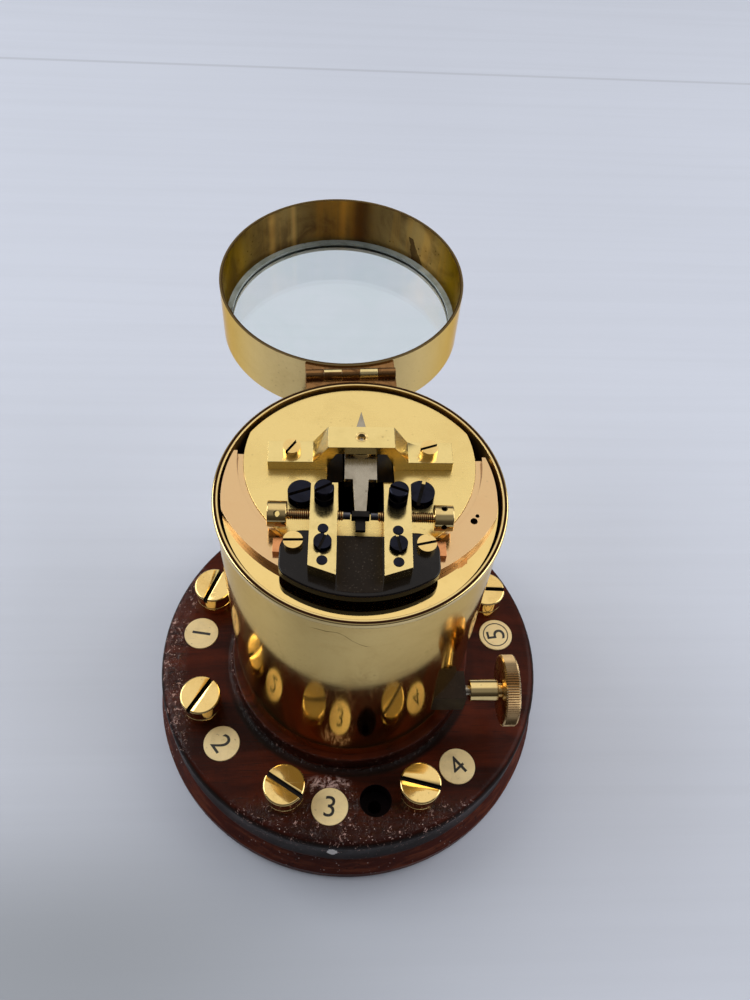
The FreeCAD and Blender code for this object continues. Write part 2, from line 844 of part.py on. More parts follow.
def make_tongue():
    root = tongue_root_w / 2
    neck = tongue_neck_w / 2
    tip = tongue_tip_w / 2
    tail = tail_root_w / 2
    shoulder = pivot_y - tongue_root_front
    back = pivot_y + root
    outline = [(-tail, back), (-root, back - tail_corner), (-root, shoulder), (-neck, shoulder),
               (-tip, tongue_tip_y())]
    points = [V(x, y, tongue_z) for x, y in outline]
    points += [V(-x, y, tongue_z) for x, y in reversed(outline)]
    points.append(V(0, pivot_y + tail_l, tongue_z))
    plate = prism(points, V(0, 0, tongue_t))
    return plate.cut(cyl(axle_r, tongue_t + 2, V(0, pivot_y, tongue_z - 1)))


def make_tongue_hub():
    base = V(0, pivot_y, tongue_z + tongue_t)
    height = min(hub_h, arch_z - hub_gap - base.z)
    return tube(hub_r, axle_r, height, base)


def make_tee():
    z = contact_z - tee_h / 2
    y = pivot_y - contact_from_axle
    head = span_box(-tee_half, tee_half, y - tee_w / 2, y + tee_w / 2, z, z + tee_h)
    end = pivot_y - block_back - block_notch + stem_gap
    stem = span_box(-stem_w / 2, stem_w / 2, end, y, z, z + stem_t)
    return fused([head, stem])


# ---------------------------------------------------------------- carriage
def make_carriage_plate():
    base = V(0, 0, carriage_z)
    ring = tube(carriage_out_r, carriage_in_r, carriage_t, base)
    ledge = tube(carriage_out_r, main_r + journal_clearance, ledge_t, base)
    behind = wedge(2 * carriage_out_r, 90 - carriage_end, carriage_z - 1, carriage_top_z + 1)
    plate = moved(fused([ring, ledge]).cut(behind), V(0, pivot_y, 0))
    within = cyl(case_in_r - carriage_wall_gap, carriage_t, V(0, 0, carriage_z))
    plate = plate.common(within)
    tools = []
    for radius, (x, y) in zip(carriage_hole_r, carriage_hole_at):
        tools.append(cyl(radius, carriage_t + 2, V(x, y, carriage_z - 1)))
    for side in (-1, 1):
        spot = V(side * block_screw_x, pivot_y - block_screw_from_axle, carriage_z - 1)
        tools.append(cyl(block_screw_r, carriage_t + 2, spot))
    return cut_all(plate, tools)


def crossbar_box():
    y = pivot_y - crossbar_from_axle
    return span_box(-crossbar_half, crossbar_half, y - crossbar_w / 2, y + crossbar_w / 2,
                    carriage_top_z, carriage_top_z + crossbar_h)


def make_crossbar():
    tools = []
    for side in (-1, 1):
        spot = V(side * block_screw_x, pivot_y - block_screw_from_axle, carriage_top_z - 1)
        tools.append(cyl(block_screw_r, crossbar_h + 2, spot))
        spot = V(side * bar_x, pivot_y - bar_screw_from_axle, carriage_top_z - 1)
        tools.append(cyl(bar_screw_r + bar_screw_clear, crossbar_h + 2, spot))
    return cut_all(crossbar_box(), tools)


def make_block():
    back = pivot_y - block_back
    disc = cyl(block_front_r, block_t, V(0, 0, carriage_top_z))
    field = span_box(-block_half, block_half, -block_front_r, back, carriage_top_z, block_top_z)
    block = disc.common(field)

    def upright(edge):
        return edge.BoundBox.ZLength > block_t / 2 and abs(edge.BoundBox.XMax) > 1
    block = round_edges(block, block_corner, lambda e: upright(e) and abs(e.BoundBox.YMax - back) < 1e-4)
    side_y = -math.sqrt(block_front_r ** 2 - block_half ** 2)
    block = round_edges(block, block_side_round,
                        lambda e: upright(e) and abs(e.BoundBox.YMax - side_y) < 1e-4)
    block = round_edges(block, block_edge_round,
                        lambda e: abs(e.BoundBox.ZMin - block_top_z) < 1e-4)
    notch = bar_x - bar_w / 2
    tools = [crossbar_box()]
    tools.append(span_box(-notch, notch, back - block_notch, back + 1,
                          carriage_top_z - 1, block_top_z + 1))
    for side in (-1, 1):
        spot = V(side * block_screw_x, pivot_y - block_screw_from_axle, carriage_top_z - 1)
        tools.append(cyl(block_screw_r, block_t + 2, spot))
        spot = V(side * bar_x, pivot_y - bar_screw_from_axle, carriage_top_z - 1)
        tools.append(cyl(bar_screw_r, block_t + 2, spot))
    return cut_all(block, tools)


def make_block_screws():
    screws = []
    for side, turn in ((-1, 2), (1, 14)):
        seat = V(side * block_screw_x, pivot_y - block_screw_from_axle, block_top_z)
        screws.append(screw(block_screw_head_r, block_screw_head_h, block_screw_r,
                            block_t + carriage_t, seat, turn))
    return screws


def make_bar():
    """Right-hand contact bar; the left one is its mirror image."""
    inner = bar_x - bar_w / 2
    outer = bar_x + bar_w / 2
    back = pivot_y - bar_back
    outline = [(inner, back), (outer, back), (outer, pivot_y - bar_front_out),
               (inner, pivot_y - bar_front_in)]
    points = [V(x, y, block_top_z) for x, y in outline]
    bar = prism(points, V(0, 0, bar_t))
    contact_y = pivot_y - contact_from_axle
    middle = bar_x
    tools = [cyl(contact_screw_r + contact_clearance, bar_w + 2,
                 V(inner - 1, contact_y, contact_z), X_AXIS)]
    tools.append(span_box(inner - 1, outer + 1, contact_y, back + 1,
                          contact_z - bar_slit_t / 2, contact_z + bar_slit_t / 2))
    tools.append(cyl(clamp_screw_r, bar_t + 2, V(middle, pivot_y - clamp_from_axle, block_top_z - 1)))
    tools.append(cyl(bar_screw_r, bar_t + 2, V(middle, pivot_y - bar_screw_from_axle, block_top_z - 1)))
    for reach in dowel_from_axle:
        tools.append(cyl(dowel_r, bar_t + 2, V(middle, pivot_y - reach, block_top_z - 1)))
    return cut_all(bar, tools)


def make_clamp_screw(side, turn):
    seat = V(side * bar_x, pivot_y - clamp_from_axle, bar_top_z)
    low = clamp_head_h * clamp_foot_share
    foot = cyl(clamp_head_r, low, seat)
    waist = cyl(clamp_head_r - clamp_waist, clamp_waist_h, seat + V(0, 0, low))
    cap_seat = seat + V(0, 0, low + clamp_waist_h)
    cap_h = clamp_head_h - low - clamp_waist_h
    cap = slotted_head(clamp_head_r, cap_h, cap_seat, clamp_slot_w, clamp_slot_depth, turn,
                       clamp_round)
    shank = cyl(clamp_screw_r, bar_t, seat - V(0, 0, bar_t))
    return fused([foot, waist, cap, shank])


def make_bar_screw(side, turn):
    seat = V(side * bar_x, pivot_y - bar_screw_from_axle, bar_top_z)
    length = bar_t + block_t - bar_screw_short
    return screw(bar_screw_head_r, bar_screw_head_h, bar_screw_r, length, seat, turn)


def make_dowels():
    pins = []
    for side in (-1, 1):
        for reach in dowel_from_axle:
            spot = V(side * bar_x, pivot_y - reach, block_top_z)
            pins.append(cyl(dowel_r, bar_t + dowel_proud, spot))
    return pins


def make_contact_screw(turn):
    """Right-hand contact screw, its capstan head turned by the given angle."""
    y = pivot_y - contact_from_axle
    tip_x0 = tee_half + contact_gap
    start = V(tip_x0, y, contact_z)
    tip = cyl(contact_tip_r, contact_tip_l, start, X_AXIS)
    rod_x0 = tip_x0 + contact_tip_l
    rod = cyl(contact_screw_r, contact_head_at - rod_x0, V(rod_x0, y, contact_z), X_AXIS)
    head = cyl(contact_head_r, contact_head_l, V(contact_head_at, y, contact_z), X_AXIS)
    head = round_edges(head, contact_head_round, lambda e: is_rim(e, contact_head_r))
    middle = V(contact_head_at + contact_head_l / 2, y, contact_z)
    reach = contact_head_r + 1
    upright = cyl(tommy_r, 2 * reach, middle - V(0, 0, reach), Z_AXIS)
    level = cyl(tommy_r, 2 * reach, middle - V(0, reach, 0), Y_AXIS)
    tommy = fused([upright, level])
    tommy.rotate(middle, X_AXIS, turn)
    return fused([tip, rod, head]).cut(tommy)


def make_arm():
    top = carriage_z
    foot = adjust_z + nut_block / 2
    half = arm_w / 2
    return span_box(-half, half, adjust_y - arm_t / 2, adjust_y + arm_t / 2, foot, top)


def make_carriage_nut():
    half = nut_block / 2
    block = span_box(-half, half, adjust_y - half, adjust_y + half,
                     adjust_z - half, adjust_z + half)
    return block.cut(cyl(thread_r + nut_clearance, nut_block + 2, adjust_point(-half - 1), X_AXIS))


# ---------------------------------------------------------------- adjusting screw
def make_spindle():
    thread = cyl(thread_r, thread_to - thread_end, adjust_point(thread_end), X_AXIS)
    body = cyl(spindle_r, guide_end_x - thread_to, adjust_point(thread_to), X_AXIS)
    tail_l = knob_from + knob_t - spindle_short - guide_end_x
    tail = cyl(thread_r, tail_l, adjust_point(guide_end_x), X_AXIS)
    pieces = [thread, body, tail]
    inner = bracket_x - collar_float - stop_collar_t
    outer = bracket_x + bracket_t + collar_float
    for x in (inner, outer):
        pieces.append(cyl(stop_collar_r, stop_collar_t, adjust_point(x), X_AXIS))
    return fused(pieces)


def make_bracket():
    top = adjust_z + bracket_over
    post = span_box(bracket_x, bracket_x + bracket_t, adjust_y - bracket_w / 2,
                    adjust_y + bracket_w / 2, frame_top_z, top)
    foot = span_box(bracket_x - bracket_foot_l, bracket_x, adjust_y - bracket_w / 2,
                    adjust_y + bracket_w / 2, frame_top_z, frame_top_z + bracket_foot_t)
    bore = cyl(spindle_r + spindle_clearance, bracket_t + 2, adjust_point(bracket_x - 1), X_AXIS)
    return fused([post, foot]).cut(bore)


def make_sleeve():
    return tube(sleeve_r, thread_r, sleeve_to - sleeve_from, adjust_point(sleeve_from), X_AXIS)


def make_knob():
    disc = cyl(knob_r, knob_t, adjust_point(knob_from), X_AXIS)
    disc = round_edges(disc, knob_round, lambda e: is_rim(e, knob_r))
    neck = cyl(thread_r + knob_neck_wall, knob_from - sleeve_to, adjust_point(sleeve_to), X_AXIS)
    bore = cyl(thread_r, knob_t + 2 + knob_from - sleeve_to, adjust_point(sleeve_to - 1), X_AXIS)
    return fused([disc, neck]).cut(bore)


# ---------------------------------------------------------------- lid and hinge
def make_lid_shell():
    foot_z = lid_top_z - lid_h
    centre = V(0, lid_y, foot_z)
    body = cyl(lid_r, lid_h, centre)
    body = round_edges(body, lid_round, lambda e: is_circle_at(e, foot_z, lid_r))
    inside = cyl(lid_r - lid_wall, lid_h, V(0, lid_y, foot_z + glass_seat_t))
    window = cyl(glass_seat_in_r, lid_h, V(0, lid_y, foot_z - 1))
    return body.cut(fused([inside, window]))


def glass_z():
    return lid_top_z - lid_h + glass_seat_t


def make_glass():
    radius = lid_r - lid_wall - glass_gap
    disc = cyl(radius, glass_t, V(0, lid_y, glass_z()))
    top = glass_z() + glass_t
    edges = [edge for edge in disc.Edges if is_circle_at(edge, top, radius)]
    return disc.makeChamfer(glass_bevel, edges)


def make_glass_ring():
    outer = lid_r - lid_wall
    return tube(outer, outer - glass_ring_w - glass_bevel, glass_ring_t,
                V(0, lid_y, glass_z() + glass_t))


def knuckle_spans(first):
    """Start and end along the hinge of every second knuckle."""
    pitch = 2 * leaf_half / knuckle_count
    spans = []
    for k in range(first, knuckle_count, 2):
        start = -leaf_half + k * pitch
        spans.append((start + knuckle_gap / 2, start + pitch - knuckle_gap / 2))
    return spans


def leaf_levels():
    top = hinge_z - leaf_below_axis
    return top - leaf_t, top


def make_leaf(first, bore, centre_y, carrier_r, lip_r, lip_bottom):
    """Hinge leaf on a round wall: flange on the wall, tab and knuckles."""
    low, high = leaf_levels()
    direction = 90 if centre_y < hinge_y else 270
    span = math.degrees(math.asin(leaf_half / (lip_r + leaf_t)))
    lower = sector(carrier_r + leaf_t, carrier_r, span, high - leaf_drop, lip_bottom, direction)
    upper = sector(lip_r + leaf_t, lip_r, span, lip_bottom - leaf_t, high, direction)
    tab = span_box(-leaf_half, leaf_half, min(centre_y, hinge_y), max(centre_y, hinge_y), low, high)
    tab = moved(tab, V(0, -centre_y, 0)).cut(cyl(lip_r, leaf_t + 2, V(0, 0, low - 1)))
    plate = moved(fused([lower, upper, tab]), V(0, centre_y, 0))
    knuckles = []
    for start, end in knuckle_spans(first):
        knuckles.append(cyl(knuckle_r, end - start, V(start, hinge_y, hinge_z), X_AXIS))
    notches = []
    for start, end in knuckle_spans(1 - first):
        notches.append(cyl(knuckle_r + notch_gap, end - start + 2 * knuckle_gap,
                           V(start - knuckle_gap, hinge_y, hinge_z), X_AXIS))
    plate = cut_all(plate, notches)
    leaf = fused([plate] + knuckles)
    length = 2 * leaf_half + 2
    return leaf.cut(cyl(bore, length, V(-leaf_half - 1, hinge_y, hinge_z), X_AXIS))


def make_case_leaf():
    return make_leaf(0, hinge_pin_r, 0, case_r, case_r + lip_out, rim_z - lip_h)


def make_lid_leaf():
    bore = hinge_pin_r + hinge_clearance
    return make_leaf(1, bore, lid_y, lid_r, lid_r, lid_top_z - lip_h)


def make_hinge_pin():
    return cyl(hinge_pin_r, 2 * leaf_half, V(-leaf_half, hinge_y, hinge_z), X_AXIS)


# ---------------------------------------------------------------- assembly
def save_base():
    save("base", make_base())
    save("label_discs", make_labels())
    save("terminal_bushes", [make_bush(spot) for spot in terminal_spots()])
    save("terminal_nuts", [make_nut(spot) for spot in terminal_spots()])
    for number, spot in enumerate(terminal_spots(), 1):
        save("terminal_screw_%d" % number, make_terminal(spot, slot_turns[number - 1]))


def save_case():
    save("case", make_case())
    save("spindle_guide", make_guide())
    save("frame_plate", make_frame_plate())
    save("frame_screws", make_frame_screws())
    save("pillars", make_pillars())
    save("pillar_screws", make_pillar_screws())
    save("deck_plate", make_deck())
    save("main_plate", make_main_plate())
    save("main_plate_screws", make_plate_screws())


def save_bridge():
    save("bridge", make_bridge())
    save("bridge_screws", make_bridge_screws())
    save("axle_bearings", [make_upper_bearing(), make_lower_bearing()])


def save_electromagnet():
    save("upper_poles", [make_upper_pole(), mirror_x(make_upper_pole())])
    save("lower_poles", [make_lower_pole(), mirror_x(make_lower_pole())])
    save("coil_cores", [make_core(), mirror_x(make_core())])
    save("coil_bobbins", [make_bobbin(), mirror_x(make_bobbin())])
    save("coil_windings", [make_winding(), mirror_x(make_winding())])
    save("permanent_magnet", make_magnet())
    save("magnet_foot", make_magnet_foot())
    save("magnet_shoes", [make_magnet_shoe(magnet_z), make_magnet_shoe(magnet_top_z - magnet_shoe_t)])


def save_armature():
    save("armature_axle", carried(make_axle()))
    save("upper_armature", carried(make_armature(upper_armature_z())))
    save("lower_armature", carried(make_armature(lower_armature_z())))
    save("tongue", carried(make_tongue()))
    save("tongue_hub", carried(make_tongue_hub()))
    save("tongue_contact", carried(make_tee()))


def save_carriage():
    save("carriage_plate", carried(make_carriage_plate()))
    save("carriage_arm", carried(make_arm()))
    save("carriage_nut", carried(make_carriage_nut()))
    save("ebonite_block", carried(make_block()))
    save("crossbar", carried(make_crossbar()))
    save("block_screws", [carried(shape) for shape in make_block_screws()])
    save("contact_bar_right", carried(make_bar()))
    save("contact_bar_left", carried(mirror_x(make_bar())))
    clamps = [make_clamp_screw(-1, 30), make_clamp_screw(1, -20)]
    save("clamp_screws", [carried(shape) for shape in clamps])
    bar_screws = [make_bar_screw(-1, 70), make_bar_screw(1, 100)]
    save("bar_screws", [carried(shape) for shape in bar_screws])
    save("bar_dowels", [carried(shape) for shape in make_dowels()])
    left_turn, right_turn = tommy_turn
    save("contact_screw_right", carried(make_contact_screw(right_turn)))
    save("contact_screw_left", carried(mirror_x(make_contact_screw(left_turn))))


def save_adjuster():
    save("adjusting_spindle", make_spindle())
    save("spindle_bracket", make_bracket())
    save("spindle_sleeve", make_sleeve())
    save("adjusting_knob", make_knob())


def save_lid():
    save("lid_shell", hinged(make_lid_shell()))
    save("lid_glass", hinged(make_glass()))
    save("glass_ring", hinged(make_glass_ring()))
    save("hinge_leaf_case", hinged(make_case_leaf()))
    save("hinge_leaf_lid", hinged(make_lid_leaf()))
    save("hinge_pin", hinged(make_hinge_pin()))


os.makedirs("parts", exist_ok=True)
save_base()
save_case()
save_bridge()
save_electromagnet()
save_armature()
save_carriage()
save_adjuster()
save_lid()
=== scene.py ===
"""Dressing of a polarised telegraph relay: finishes, fine details and the stage.

Lengths are metres.  +Z is up, -Y is the front, +X is the side of the knob.
"""

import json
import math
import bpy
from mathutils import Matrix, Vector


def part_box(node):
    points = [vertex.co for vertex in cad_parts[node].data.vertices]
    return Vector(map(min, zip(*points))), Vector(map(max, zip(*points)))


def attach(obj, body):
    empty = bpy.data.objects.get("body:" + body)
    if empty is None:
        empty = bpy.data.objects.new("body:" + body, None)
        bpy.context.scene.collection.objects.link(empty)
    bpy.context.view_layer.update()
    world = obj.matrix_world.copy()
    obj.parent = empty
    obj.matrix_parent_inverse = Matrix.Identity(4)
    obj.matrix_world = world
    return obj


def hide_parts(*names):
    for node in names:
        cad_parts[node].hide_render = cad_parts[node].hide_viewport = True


bl_info = {
    "name": "Polarised relay dressing",
    "version": (1, 0, 0),
    "blender": (4, 5, 0),
    "location": "3D View > Sidebar > Relay",
    "description": "Finishes and fine details for a drum-cased polarised telegraph relay",
    "category": "Object",
}

import bmesh
import bpy
from bpy.props import FloatProperty, FloatVectorProperty, IntProperty, PointerProperty
from mathutils import Matrix, Vector
from mathutils.bvhtree import BVHTree

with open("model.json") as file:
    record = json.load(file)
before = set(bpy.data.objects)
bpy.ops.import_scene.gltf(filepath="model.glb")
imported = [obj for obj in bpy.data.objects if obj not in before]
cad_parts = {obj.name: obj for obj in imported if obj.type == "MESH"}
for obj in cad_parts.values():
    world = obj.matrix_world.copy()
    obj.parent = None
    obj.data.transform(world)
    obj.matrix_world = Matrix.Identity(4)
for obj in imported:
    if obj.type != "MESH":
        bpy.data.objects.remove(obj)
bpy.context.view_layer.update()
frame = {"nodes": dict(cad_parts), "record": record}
NODES = frame["nodes"]
RECORD = frame["record"]
BODY_OF = {member: body for body, members in RECORD["behaviour"]["bodies"].items()
           for member in members}
X_AXIS = Vector((1.0, 0.0, 0.0))
Z_AXIS = Vector((0.0, 0.0, 1.0))
PIVOT = Vector((0.0, 0.014, 0.0))                 # the axle, seen from above
CARRIAGE_SET = math.radians(-1.5)                 # how far the carriage stands turned at rest
SET_OVER = Matrix.Translation(PIVOT) @ Matrix.Rotation(CARRIAGE_SET, 4, "Z") @ Matrix.Translation(-PIVOT)
SET_BACK = SET_OVER.inverted()

TERMINALS = range(1, 8)
RINGED_DISC = 5                                   # the disc with a ring round its number
MERGE = 0.000001                                  # vertices nearer than this become one
SHARP = math.radians(32)                          # edges bent more than this stay sharp
ROUNDED = math.radians(30)                        # edges bent more than this are rounded
FLAT = math.radians(0.6)                          # faces bent less than this become one
DISC_CORNER = 0.00025
TERMINAL_CORNER = 0.0002
CONTACT_SCREW_CORNER = 0.00008
TERMINAL_SLOT = 0.0025                            # no slot of a terminal is wider
HEAD_HOLE = 0.0022                                # no hole in a capstan head is wider
PLATE_HOLE = 0.0026                               # no hole in the carriage plate is wider
TYPE_SIZE = 1.38                                  # size of the type over its figures' height
INK_DEPTH, INK_PROUD = 0.00006, 0.00005           # of the ring below and above the disc's face
DISC_RING_R = (0.00508, 0.00552)
DRUM_BORE_R = 0.0456                              # inside of the case and of the lid
GLASS_SEAT_R = 0.0441                             # opening of the lid's glass
LID_SEAT_LEVEL = 0.0035                           # top of the ledge over the lid's lowest point
WINDING_PITCH = 0.00042
SEAM_ALONG = 0.512                                # joint between two boards of the floor

BLISTER_CENTRE = (-0.0085, -0.0632, 0.0)          # the disc with blistered varnish round it
SHEEN_CENTRE = (-0.0095, -0.0545, 0.0)            # painted highlight between that disc and the boss
CHIP_CENTRE = (-0.0076, -0.0788, 0.0262)
FIXING_HOLE = (0.00922, -0.06171, 0.0)
HOLE_MOUTH = 0.0063
BOSS_FOOT_R = 0.0508
FLANGE_TOP = (0.0135, 0.0165)                     # the wear of the flange ends between these
UPPER_FACE = (0.0245, 0.0255)                     # the base's upper face lies above these

CAMERA_PLACE = Vector((-0.01269, -0.16452, 0.38628))
CAMERA_LOOK = Vector((0.0598, 0.5690, -0.8202))
CAMERA_LEVEL = Vector((0.9945, -0.1045, 0.0))
CAMERA_ROLL = math.radians(5.3)
LAMP_AIM = Vector((0.0, 0.02, 0.08))
CEILING_WAY = (0.05, 0.53, 0.846)                 # where the room's ceiling is brightest

# painted reflections, bright and dark bands up the lid's far wall: middle, half width, amount, colour
LID_REFLECTION_BANDS = ((-0.0334, 0.0022, 0.55, (0.62, 0.34, 0.08)), (-0.0247, 0.0018, 0.70, (0.70, 0.42, 0.12)),
             (-0.0042, 0.0024, 0.75, (0.66, 0.36, 0.08)), (0.0030, 0.0060, 0.75, (0.085, 0.030, 0.016)))
DROP_ACROSS = 0.0236                              # the drop-shaped stain in the lid
DROP_TOP = 0.1442
SCRATCH_LEVEL = 0.1462                            # the left end of the scratch on the case

# name, bright, dull, tarnish, clouds, spots, shine, hairlines, grain, turn of the grain, edge
METALS = {
    "head": ("terminal brass", (0.92, 0.66, 0.26), (0.62, 0.36, 0.09), 0.40, 90.0, 0.25, 0.07, 0.4),
    "plate": ("emery grained brass", (0.90, 0.68, 0.27), (0.70, 0.50, 0.18),
              0.35, 45.0, 0.15, 0.22, 0.3, 0.35),
    "deck": ("bright deck brass", (0.96, 0.70, 0.27), (0.74, 0.46, 0.13), 0.20, 60.0, 0.15, 0.02, 0.15),
    "bridge": ("grained bridge brass", (0.90, 0.70, 0.29), (0.66, 0.48, 0.17),
               0.3, 80.0, 0.25, 0.17, 0.3, 0.4),
    "bar": ("bar brass", (0.90, 0.70, 0.30), (0.60, 0.42, 0.13),
            0.4, 110.0, 0.35, 0.15, 0.4, 0.3, math.pi / 2),
    "copper": ("reddened copper", (0.78, 0.34, 0.14), (0.30, 0.10, 0.04), 0.5, 120.0, 0.4, 0.2, 0.3),
    "steel": ("grey steel", (0.42, 0.37, 0.29), (0.15, 0.12, 0.08),
              0.50, 90.0, 0.5, 0.24, 0.5, 0.5, math.pi / 2),
    "blued": ("blued steel", (0.017, 0.018, 0.028), (0.010, 0.009, 0.011),
              0.7, 150.0, 0.3, 0.16, 0.3, 0.0, 0.0, (0.16, 0.16, 0.20)),
    # painted shade: dark red brass for upright walls that face the front
    "wall": ("shaded edge brass", (0.26, 0.11, 0.045), (0.11, 0.04, 0.018),
             0.5, 120.0, 0.4, 0.22, 0.3),
    "iron": ("blackened iron", (0.020, 0.018, 0.017), (0.011, 0.009, 0.008),
             0.5, 120.0, 0.3, 0.30, 0.2, 0.0, 0.0, (0.18, 0.18, 0.18)),
    "soft iron": ("bright soft iron", (0.40, 0.39, 0.36), (0.18, 0.14, 0.10),
                  0.5, 90.0, 0.5, 0.30, 0.4),
    "magnet": ("lacquered magnet", (0.06, 0.065, 0.09), (0.03, 0.03, 0.04),
               0.5, 60.0, 0.4, 0.30, 0.3, 0.0, 0.0, (0.4, 0.4, 0.5)),
    "knuckle": ("rubbed knuckle brass", (0.90, 0.72, 0.34), (0.55, 0.38, 0.14),
                0.3, 150.0, 0.3, 0.14, 0.3),
    "tip": ("contact steel", (0.11, 0.11, 0.13), (0.04, 0.035, 0.035),
            0.5, 300.0, 0.2, 0.16, 0.2, 0.0, 0.0, (0.5, 0.5, 0.5)),
    "tarnish": ("tarnished hinge brass", (0.30, 0.15, 0.055), (0.065, 0.028, 0.012),
                0.8, 190.0, 0.8, 0.22, 0.4),
    "thread": ("reddened thread", (0.30, 0.12, 0.05), (0.09, 0.03, 0.015),
               0.6, 150.0, 0.3, 0.24, 0.2, 0.0, 0.0, (0.5, 0.4, 0.3)),
    "knob": ("worn knob brass", (0.72, 0.50, 0.25), (0.36, 0.20, 0.09), 0.6, 130.0, 0.5, 0.17, 0.4),
}
# name, colour, roughness, dust, gloss
EBONITES = {
    "ebonite": ("ebonite", (0.006, 0.004, 0.0035), 0.06, 0.05, 0.24),
    "guide": ("brown ebonite", (0.018, 0.010, 0.006), 0.28, 0.15, 0.12),
    "panel": ("rubbed ebonite", (0.013, 0.008, 0.0045), 0.42, 0.45, 0.12),
}


# ------------------------------------------------------------------ node trees
class Wire:
    """A value in a node tree.  Arithmetic with it adds the nodes that work it out."""

    def __init__(self, web, socket):
        self.web = web
        self.socket = socket

    def __add__(self, other):
        return self.web.math("ADD", self, other)

    def __sub__(self, other):
        return self.web.math("SUBTRACT", self, other)

    def __rsub__(self, other):
        return self.web.math("SUBTRACT", other, self)

    def __mul__(self, other):
        return self.web.math("MULTIPLY", self, other)

    def __truediv__(self, other):
        return self.web.math("DIVIDE", self, other)

    def __abs__(self):
        return self.web.math("ABSOLUTE", self)

    def __lt__(self, other):
        return self.web.math("LESS_THAN", self, other)

    def __gt__(self, other):
        return self.web.math("GREATER_THAN", self, other)

    def __or__(self, other):
        """The larger of the two, which joins masks."""
        return self.web.math("MAXIMUM", self, other)

    def span(self, low, high, out_low=0.0, out_high=1.0, kind="SMOOTHSTEP"):
        """Goes from out_low to out_high while this value goes from low to high."""
        inputs = {"Value": self, "From Min": low, "From Max": high,
                  "To Min": out_low, "To Max": out_high}
        return self.web.wires("ShaderNodeMapRange", inputs, interpolation_type=kind)["Result"]

    def fall(self, low, high, amount=1.0):
        """Goes from amount to 0 while this value goes from low to high."""
        return self.span(low, high, amount, 0.0)


class Web:
    """One node tree, with short calls that add nodes to it and join them."""

    def __init__(self, tree):
        self.tree = tree

    def put(self, kind, inputs=None, **settings):
        """A new node.  Wires are joined to its sockets and plain values set on them."""
        node = self.tree.nodes.new(kind)
        for key, value in settings.items():
            setattr(node, key, value)
        for key, value in (inputs or {}).items():
            socket = node.inputs[key]
            if isinstance(value, Wire):
                self.tree.links.new(value.socket, socket)
            elif socket.type == "RGBA":
                socket.default_value = (*value, 1.0)
            else:
                socket.default_value = value
        return node

    def wires(self, kind, inputs=None, **settings):
        """The outputs of a new node, by name."""
        outputs = self.put(kind, inputs, **settings).outputs
        return {socket.name: Wire(self, socket) for socket in outputs if socket.enabled}

    def end(self, kind, shader):
        self.tree.links.new(shader.outputs[0], self.tree.nodes.new(kind).inputs["Surface"])

    def math(self, operation, a, b=0.0, clamp=False):
        inputs = {0: a, 1: b}
        return self.wires("ShaderNodeMath", inputs, operation=operation, use_clamp=clamp)["Value"]

    def vector(self, operation, a, b=(0.0, 0.0, 0.0)):
        kind = "Value" if operation in ("LENGTH", "DOT_PRODUCT") else "Vector"
        return self.wires("ShaderNodeVectorMath", {0: a, 1: b}, operation=operation)[kind]

    def reach(self, place, centre=(0.0, 0.0, 0.0), stretch=(1.0, 1.0, 0.0)):
        """Distance from a centre, as a rule from an upright axis through it."""
        away = self.vector("MULTIPLY", self.vector("SUBTRACT", place, centre), stretch)
        return self.vector("LENGTH", away)

    def scaled(self, place, scale, turn=(0.0, 0.0, 0.0)):
        inputs = {"Vector": place, "Scale": scale, "Rotation": turn}
        return self.wires("ShaderNodeMapping", inputs)["Vector"]

    def noise(self, place, scale, detail=3.0, rough=0.55, warp=0.0, turn=(0.0, 0.0, 0.0)):
        """Noise of one scale, or with three scales noise drawn out along turned axes."""
        if isinstance(scale, tuple):
            place, scale = self.scaled(place, scale, turn), 1.0
        inputs = {"Vector": place, "Scale": scale, "Detail": detail, "Roughness": rough,
                  "Distortion": warp}
        return self.wires("ShaderNodeTexNoise", inputs)["Fac"]

    def cells(self, place, scale, feature="F1"):
        inputs = {"Vector": place, "Scale": scale}
        return self.wires("ShaderNodeTexVoronoi", inputs, feature=feature)["Distance"]

    def blend(self, factor, a, b):
        node = self.put("ShaderNodeMix", {}, data_type="RGBA")
        for index, value in ((0, factor), (6, a), (7, b)):
            if isinstance(value, Wire):
                self.tree.links.new(value.socket, node.inputs[index])
            else:
                node.inputs[index].default_value = (*value, 1.0)
        return Wire(self, node.outputs[2])

    def bump(self, height, strength, distance, normal=None):
        inputs = {"Height": height, "Strength": strength, "Distance": distance}
        if normal is not None:
            inputs["Normal"] = normal
        return self.wires("ShaderNodeBump", inputs)["Normal"]

    def parts(self, vector):
        """How far across, along and up."""
        return list(self.wires("ShaderNodeSeparateXYZ", {0: vector}).values())

    def shared(self, maker, **inputs):
        """The outputs of a shared group, which is made on its first use."""
        if maker not in GROUPS:
            GROUPS[maker] = maker()
        return self.wires("ShaderNodeGroup", inputs, node_tree=GROUPS[maker])


